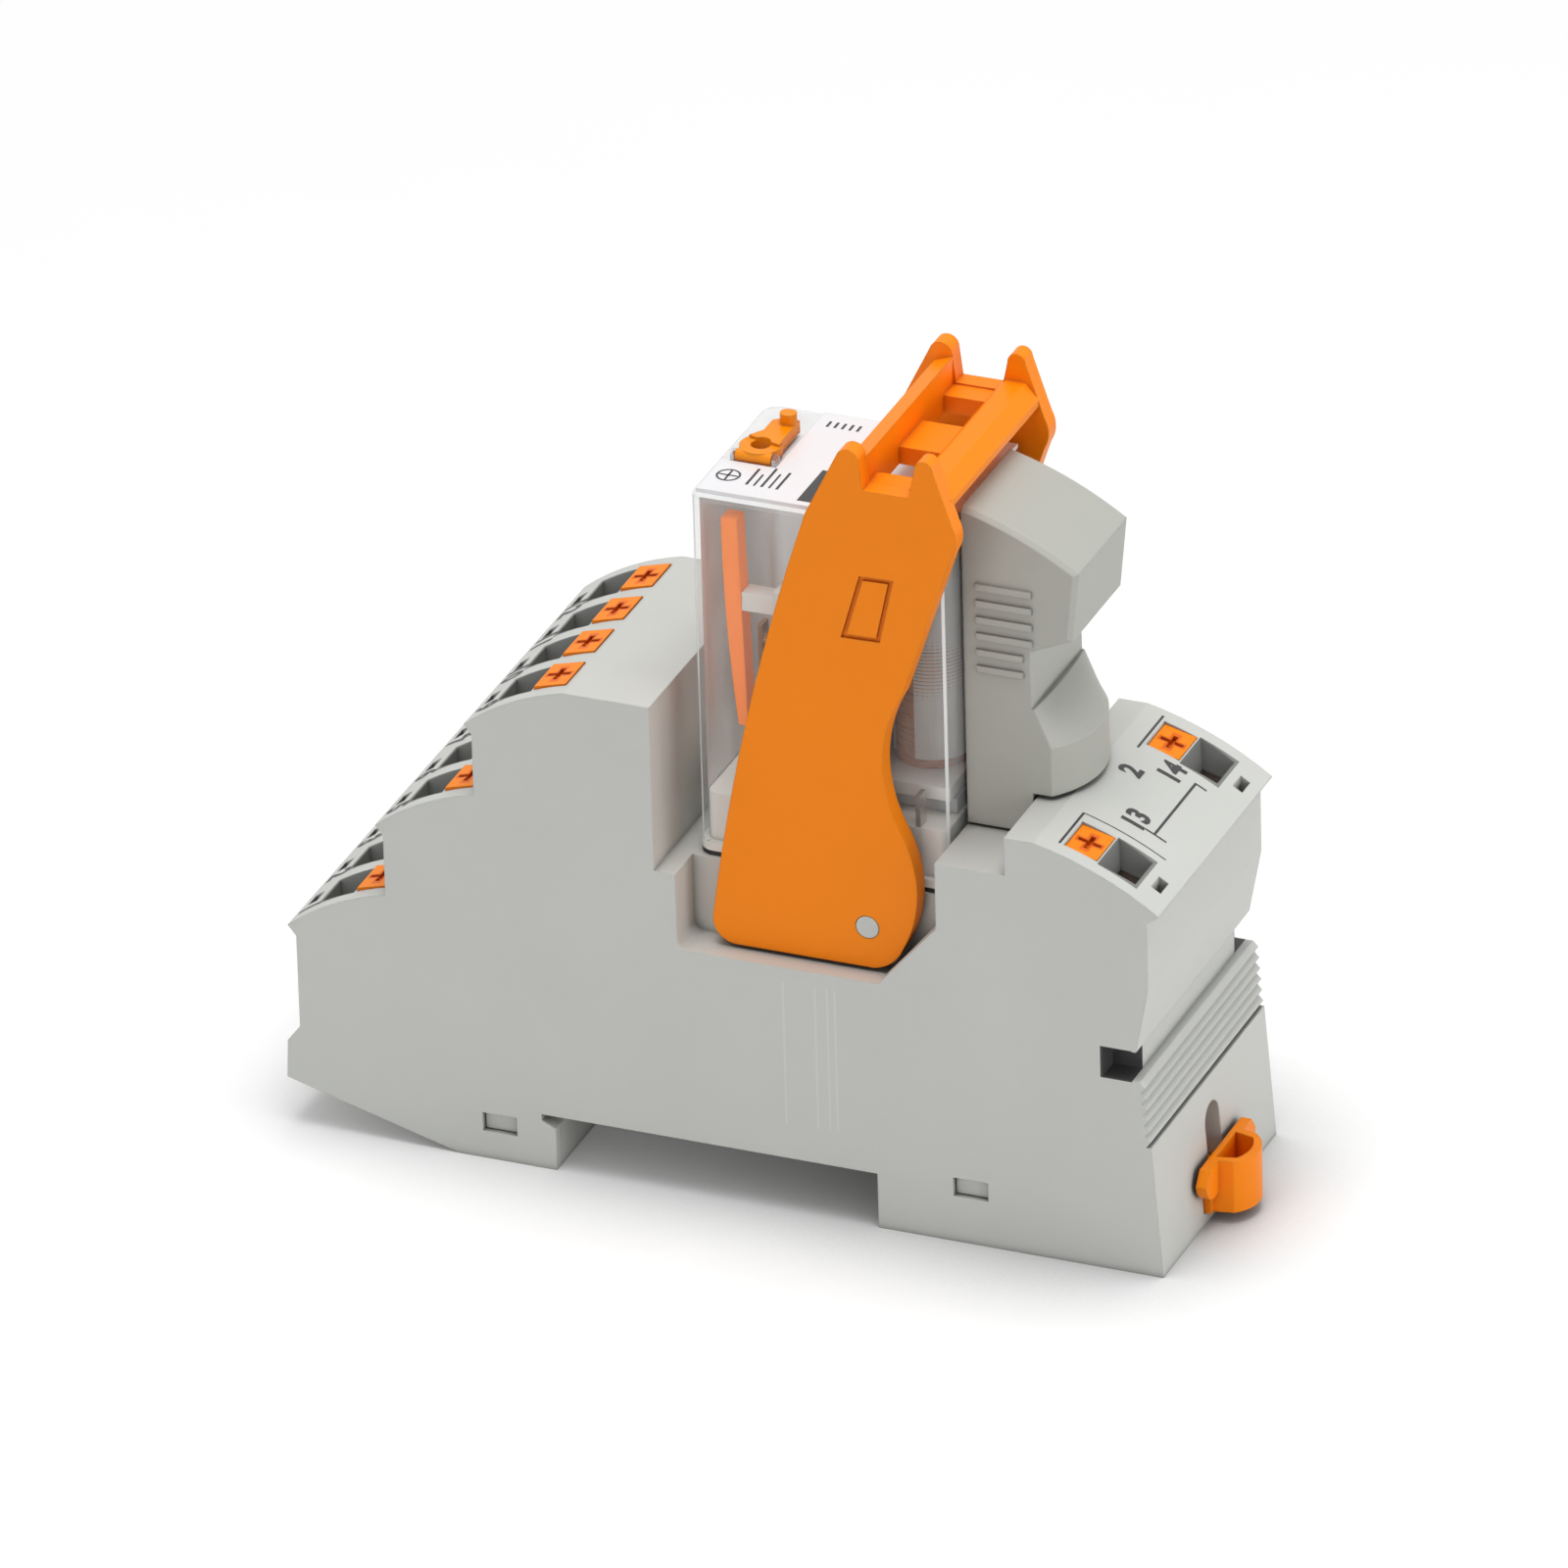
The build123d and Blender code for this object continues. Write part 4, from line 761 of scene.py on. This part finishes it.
class RELAY_OT_winding(bpy.types.Operator):
    """Winds the coil: a tube whose outside ripples once for each turn of wire"""

    bl_idname = "relay.winding"
    bl_label = "Coil Winding"

    bore_share = 0.73
    points_a_turn = 8
    belly = 0.15 * MM
    tape_start, tape_lap = -0.53 * math.pi, 1.78 * math.pi
    tape_thickness, tape_depth = 0.05 * MM, 0.12 * MM
    tape_foot, tape_head = 1.1 * MM, 0.4 * MM

    def execute(self, context):
        chosen = settings().winding
        centre = middle("coil_winding")
        low, high = low_corner("coil_winding"), high_corner("coil_winding")
        radius = (high.x - low.x) / 2 - chosen.wire
        bore = radius * self.bore_share
        # Height runs up the outside; the radius adds the rounded back of one wire per turn
        climb = np.linspace(0, 1, chosen.turns * self.points_a_turn + 1)
        ripple = np.abs(np.sin(climb * chosen.turns * math.pi)) * chosen.wire
        crown = self.belly * np.sin(climb * math.pi)
        outside = np.column_stack([radius + ripple - self.belly + crown,
                                   low.z + climb * (high.z - low.z)])
        profile = np.vstack([[bore, low.z], outside, [bore, high.z]])
        turn = np.linspace(0, 2 * math.pi, 48, endpoint=False)
        ring, angle = np.meshgrid(np.arange(len(profile)), turn, indexing="ij")
        points = np.stack([
            centre.x + profile[ring, 0] * np.cos(angle),
            centre.y + profile[ring, 0] * np.sin(angle),
            profile[ring, 1],
        ], axis=-1).reshape(-1, 3)
        faces = grid_faces(len(profile), len(turn), closed_rows=True, closed_columns=True)
        piece = mesh_piece("wound_coil", points, faces[:, ::-1],
                           bpy.data.materials["enamelled_wire"], "base")
        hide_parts("coil_winding")
        self.tape(centre, radius + chosen.wire, low.z, high.z)
        return {"FINISHED"}

    def tape(self, centre, radius, low, high):
        """White tape round the coil: a thin strip whose radius grows slowly as it goes round.

        It stops short of a full turn, so a stripe of bare wire shows between its ends.
        """
        thick = self.tape_thickness
        lap = np.linspace(0, self.tape_lap, 61)
        spiral = radius - self.tape_depth + thick * (1 + lap / (2 * math.pi))
        edges = np.array([[0, 0], [0, 1], [1, 1], [1, 0]])
        ring = spiral[:, None] + thick * edges[None, :, 0]
        foot, head = low + self.tape_foot, high - self.tape_head
        height = np.broadcast_to(foot + (head - foot) * edges[:, 1], ring.shape)
        turn = lap[:, None] + self.tape_start
        points = np.stack([centre.x + ring * np.cos(turn), centre.y + ring * np.sin(turn), height],
                          axis=-1).reshape(-1, 3)
        last = len(lap) * 4 - 4
        faces = [tuple(face) for face in grid_faces(len(lap), 4, closed_columns=True)]
        faces += [(3, 2, 1, 0), (last, last + 1, last + 2, last + 3)]
        mesh_piece("coil_tape", points, [face[::-1] for face in faces],
                   bpy.data.materials["coil_tape"], "base", smooth=False)


class RELAY_OT_springs(bpy.types.Operator):
    """Puts a merged copy in place of each spring that a joint names, the clamp springs and the
    latch spring
    """

    bl_idname = "relay.springs"
    bl_label = "Springs"

    least_kept = 0.2

    def execute(self, context):
        for joint in frame["record"]["behaviour"]["joints"]:
            for soft in joint.get("deforming_nodes", ()):
                self.yielding(joint, soft)
        return {"FINISHED"}

    def yielding(self, joint, soft):
        """A merged copy of a spring, riding on the base, in place of the spring.
        """
        node = soft["node"]
        mesh = bpy.data.meshes.new(node)
        merged = bmesh.new()
        merged.from_mesh(frame["nodes"][node].data)
        bmesh.ops.remove_doubles(merged, verts=merged.verts, dist=0.0001 * MM)
        merged.to_mesh(mesh)
        merged.free()
        mesh.polygons.foreach_set("use_smooth", [False] * len(mesh.polygons))
        mesh.materials.clear()
        mesh.materials.append(bpy.data.materials["spring_steel"])
        piece = bpy.data.objects.new(f"{node}_soft", mesh)
        bpy.context.scene.collection.objects.link(piece)
        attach(piece, "base")
        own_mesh(piece)
        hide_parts(node)


class RELAY_OT_terminal_marks(bpy.types.Operator):
    """Prints plain numbers beside the test slots of the three tiers"""

    bl_idname = "relay.terminal_marks"
    bl_label = "Terminal Numbers"

    def execute(self, context):
        chosen = settings().marks
        for level, tier in enumerate(TIERS):
            tip_x, tip_z = tier_tip(tier)
            parts = []
            for column in range(COLUMNS):
                points, faces = figures(str(level * COLUMNS + column + 1), chosen.height)
                # The reader stands at the terminal end: right is -Y, up is +X
                x = tip_x + MARK_FROM_TIP + points[:, 1]
                y = column_y(column) - MARK_BESIDE_COLUMN - points[:, 0]
                flat = np.column_stack([x, y])
                parts.append((laid(flat, lambda at: tip_z + TIER_ARC(at - tip_x), chosen.lift),
                              faces))
            points, faces = joined(parts)
            mesh_piece(f"{tier}_tier_numbers", points, facing_up(points, faces),
                       bpy.data.materials["printed_ink"], "base", smooth=False)
        return {"FINISHED"}


def facing_up(points, faces):
    """Faces turned so that each one looks upwards."""
    turned = []
    for face in faces:
        a, b, c = (points[index] for index in face[:3])
        upward = (b[0] - a[0]) * (c[1] - a[1]) - (b[1] - a[1]) * (c[0] - a[0])
        turned.append(face if upward > 0 else tuple(reversed(face)))
    return turned


class RELAY_OT_coil_marks(bpy.types.Operator):
    """Prints the brackets, the coil symbol and plain numbers on the coil block"""

    bl_idname = "relay.coil_marks"
    bl_label = "Coil Marks"

    def execute(self, context):
        chosen = settings().marks
        # Start and end in millimetres, and the width in printed lines
        lines = [
            ((37.05, -13.7), (37.05, -7.1), 1.0),
            ((37.05, -7.1), (45.6, -7.1), 0.6),
            ((37.05, 7.4), (37.05, 14.4), 1.0),
            ((43.45, -4.5), (43.45, 6.6), 1.0),
            ((43.35, 6.6), (44.6, 6.6), 1.0),
            ((42.5, -4.6), (44.7, -4.6), 1.0),
        ]
        parts = []
        for start, end, weight in lines:
            points, faces = ribbon(start, end, weight * chosen.line / MM)
            parts.append((laid(points * MM, COIL_ARC, chosen.lift), faces))
        for text, x, y in (("13", 41.4, -4.0), ("14", 41.2, 6.2), ("2", 38.1, 3.2)):
            points, faces = figures(text, chosen.height)
            flat = np.column_stack([x * MM - points[:, 1], y * MM + points[:, 0]])
            parts.append((laid(flat, COIL_ARC, chosen.lift), faces))
        points, faces = joined(parts)
        mesh_piece("coil_block_marks", points, facing_up(points, faces),
                   bpy.data.materials["printed_ink"], "base", smooth=False)
        return {"FINISHED"}


class RELAY_OT_label_marks(bpy.types.Operator):
    """Prints a plain ring, lines and a bar on the relay's label plate"""

    bl_idname = "relay.label_marks"
    bl_label = "Label Marks"

    def execute(self, context):
        chosen = settings().marks
        top = high_corner("relay_label_plate").z
        # Start, end and width in millimetres
        bars = [
            ((-0.4, -6.6), (-0.4, -4.6), 0.22), ((-1.4, -5.6), (0.6, -5.6), 0.22),
            ((2.0, -6.9), (2.0, -3.4), 0.28), ((2.8, -6.9), (2.8, -4.4), 0.22),
            ((3.6, -6.9), (3.6, -2.8), 0.28), ((4.4, -6.9), (4.4, -3.8), 0.22),
            ((5.2, -6.9), (5.2, -3.2), 0.28),
            ((4.8, 7.2), (4.8, 8.4), 0.28), ((5.6, 7.2), (5.6, 8.4), 0.28),
            ((6.4, 7.2), (6.4, 8.4), 0.28), ((7.2, 7.2), (7.2, 8.4), 0.28),
            ((8.0, 7.2), (8.0, 8.4), 0.28),
            ((8.7, -8.4), (8.7, -1.6), 1.5), ((10.2, -8.0), (13.4, -8.0), 0.9),
        ]
        strips = [ribbon(start, end, width, steps=2) for start, end, width in bars]
        strips.append(self.ring((-0.4, -5.6), 1.15, 0.22))
        parts = [(laid(points * MM, lambda at: np.full(len(at), top), chosen.lift), faces)
                 for points, faces in strips]
        points, faces = joined(parts)
        mesh_piece("relay_label_marks", points, facing_up(points, faces),
                   bpy.data.materials["printed_ink"], "base", smooth=False)
        return {"FINISHED"}

    def ring(self, centre, radius, width, steps=32):
        """Flat ring: two circles about one centre, joined by quads."""
        turn = np.linspace(0, 2 * math.pi, steps, endpoint=False)
        circle = np.stack([np.cos(turn), np.sin(turn)], axis=1)
        points = np.stack([circle * (radius + width / 2), circle * (radius - width / 2)], axis=1)
        return points.reshape(-1, 2) + np.array(centre), grid_faces(steps, 2, closed_rows=True)


# Name, place, aim, side and power of each lamp
LAMPS = (
    ("top_softbox", (0.04, -0.02, 0.80), (0, 0, 0.04), 0.50, 4.2),
    ("right_softbox", (0.90, -0.12, 0.22), (0, 0, 0.03), 0.40, 2.3),
    ("front_softbox", (-0.25, -0.92, 0.22), (0, 0, 0.04), 0.40, 0.95),
)


def softbox(name, place, aim, size, power):
    """Square area lamp, turned to a point."""
    lamp = bpy.data.lights.new(name, "AREA")
    lamp.shape = "SQUARE"
    lamp.size = size
    lamp.energy = power
    holder = bpy.data.objects.new(name, lamp)
    direction = Vector(aim) - Vector(place)
    holder.matrix_world = (
        Matrix.Translation(place) @ direction.to_track_quat("-Z", "Y").to_matrix().to_4x4()
    )
    bpy.context.scene.collection.objects.link(holder)


class RELAY_OT_stage(bpy.types.Operator):
    """Sets up the camera, the pale floor and the soft studio light"""

    bl_idname = "relay.stage"
    bl_label = "Stage"

    def execute(self, context):
        stage = settings().stage
        self.camera(stage)
        self.floor()
        self.world(stage.sky)
        for lamp in LAMPS:
            softbox(*lamp)
        context.scene.view_settings.view_transform = "Standard"
        return {"FINISHED"}

    def camera(self, stage):
        """Camera behind the back vector, rolled about its line of sight."""
        azimuth, elevation = stage.azimuth, stage.elevation
        back = Vector((
            math.sin(azimuth) * math.cos(elevation),
            -math.cos(azimuth) * math.cos(elevation),
            math.sin(elevation),
        ))
        level = Vector((0, 0, 1)).cross(back).normalized()
        upright = back.cross(level)
        c, s = math.cos(stage.roll), math.sin(stage.roll)
        right = c * level + s * upright
        up = c * upright - s * level
        place = Vector(stage.target) + back * stage.distance
        turn = Matrix((right, up, back)).transposed().to_4x4()
        lens = bpy.data.cameras.new("camera")
        lens.sensor_width = 36.0
        lens.lens = stage.lens
        lens.clip_start = 0.05
        lens.clip_end = 20.0
        holder = bpy.data.objects.new("camera", lens)
        holder.matrix_world = Matrix.Translation(place) @ turn
        bpy.context.scene.collection.objects.link(holder)
        bpy.context.scene.camera = holder

    def floor(self):
        """Wide pale floor that shows white to the camera and keeps the shadow."""
        shader = Shader("pale_floor")
        vector, (x, y, _) = shader.place()
        fleck = shader.noise(vector, 30, 2)
        pale = shader.blend(fleck, (0.80, 0.80, 0.80), (0.82, 0.82, 0.82))
        # The contact shadow, 20 mm wide: it deepens from the tiers' end to the coil end
        depth = ((x + 0.05) * 12).clamp() * 0.75 + 0.35
        open_sky = (1.08 - shader.hollows(0.02) * depth).clamp()
        diffuse = shader.node("ShaderNodeBsdfDiffuse", {}, {
            "Color": shader.blend(open_sky, (0.10, 0.10, 0.10), pale)})
        glow = shader.node("ShaderNodeEmission", {}, {
            "Color": shader.blend(open_sky, (0.0, 0.0, 0.0), (1.0, 1.0, 1.0)), "Strength": 0.20})
        both = shader.node("ShaderNodeAddShader", {}, {
            0: diffuse.outputs[0], 1: glow.outputs[0]})
        seen = self.seen_directly(shader)
        near = shader.node("ShaderNodeMixShader", {}, {
            0: seen, 1: diffuse.outputs[0], 2: both.outputs[0]})
        # Well away from the part the floor is plain white, so that it has no horizon
        white = shader.node("ShaderNodeEmission", {}, {"Color": (1, 1, 1), "Strength": 1.0})
        away = ((x * x + y * y - 0.02) * 14).clamp()
        shown = shader.node("ShaderNodeMixShader", {}, {
            0: seen * away, 1: near.outputs[0], 2: white.outputs[0]})
        shader.node("ShaderNodeOutputMaterial", {}, {"Surface": shown.outputs[0]})
        half = 1.5
        mesh = bpy.data.meshes.new("floor")
        mesh.from_pydata([(-half, -half, 0), (half, -half, 0), (half, half, 0), (-half, half, 0)],
                         [], [(0, 1, 2, 3)])
        mesh.materials.append(shader.owner)
        floor = bpy.data.objects.new("floor", mesh)
        bpy.context.scene.collection.objects.link(floor)

    def seen_directly(self, shader):
        """1 for rays from the camera, from gloss and through clear plastic."""
        path = shader.node("ShaderNodeLightPath")
        total = 0.0
        for ray in ("Is Camera Ray", "Is Glossy Ray", "Is Transmission Ray"):
            total = total + Number(shader, path.outputs[ray])
        return total.clamp()

    def world(self, level):
        """Even light at a plain level, shown white where it is seen."""
        world = bpy.data.worlds.new("studio")
        shader = Shader("studio", world)
        seen = self.seen_directly(shader)
        even = shader.node("ShaderNodeBackground", {}, {"Color": (1, 1, 1), "Strength": level})
        white = shader.node("ShaderNodeBackground", {}, {"Color": (1, 1, 1), "Strength": 1.0})
        shown = shader.node("ShaderNodeMixShader", {}, {
            0: seen, 1: even.outputs[0], 2: white.outputs[0]})
        shader.node("ShaderNodeOutputWorld", {}, {"Surface": shown.outputs[0]})
        bpy.context.scene.world = world


class RELAY_PT_looks(bpy.types.Panel):
    """Sizes, colours and steps of the relay module's looks"""

    bl_label = "Relay Looks"
    bl_idname = "RELAY_PT_looks"
    bl_space_type = "VIEW_3D"
    bl_region_type = "UI"
    bl_category = "Relay"

    def draw(self, context):
        looks = context.scene.relay_looks
        for title, group in (("Finishes", looks.finish), ("Winding", looks.winding),
                             ("Marks", looks.marks), ("Stage", looks.stage)):
            box = self.layout.box()
            box.label(text=title)
            for name in group.__annotations__:
                box.prop(group, name)
        for operator in OPERATORS:
            self.layout.operator(operator.bl_idname)


class RelayLooks(bpy.types.PropertyGroup):
    """All settings of the relay module's looks."""

    finish: PointerProperty(type=FinishSettings)
    winding: PointerProperty(type=WindingSettings)
    marks: PointerProperty(type=PrintSettings)
    stage: PointerProperty(type=StageSettings)


GROUPS = (FinishSettings, WindingSettings, PrintSettings, StageSettings, RelayLooks)
OPERATORS = (
    RELAY_OT_stage,
    RELAY_OT_finishes,
    RELAY_OT_winding,
    RELAY_OT_springs,
    RELAY_OT_terminal_marks,
    RELAY_OT_coil_marks,
    RELAY_OT_label_marks,
)


def register():
    for group in (*GROUPS, *OPERATORS, RELAY_PT_looks):
        bpy.utils.register_class(group)
    bpy.types.Scene.relay_looks = PointerProperty(type=RelayLooks)


def unregister():
    del bpy.types.Scene.relay_looks
    for group in reversed((*GROUPS, *OPERATORS, RELAY_PT_looks)):
        bpy.utils.unregister_class(group)


def main():
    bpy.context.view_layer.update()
    register()
    bpy.ops.relay.stage()
    bpy.ops.relay.finishes()
    bpy.ops.relay.winding()
    bpy.ops.relay.springs()
    bpy.ops.relay.terminal_marks()
    bpy.ops.relay.coil_marks()
    bpy.ops.relay.label_marks()


if __name__ == "__main__":
    main()
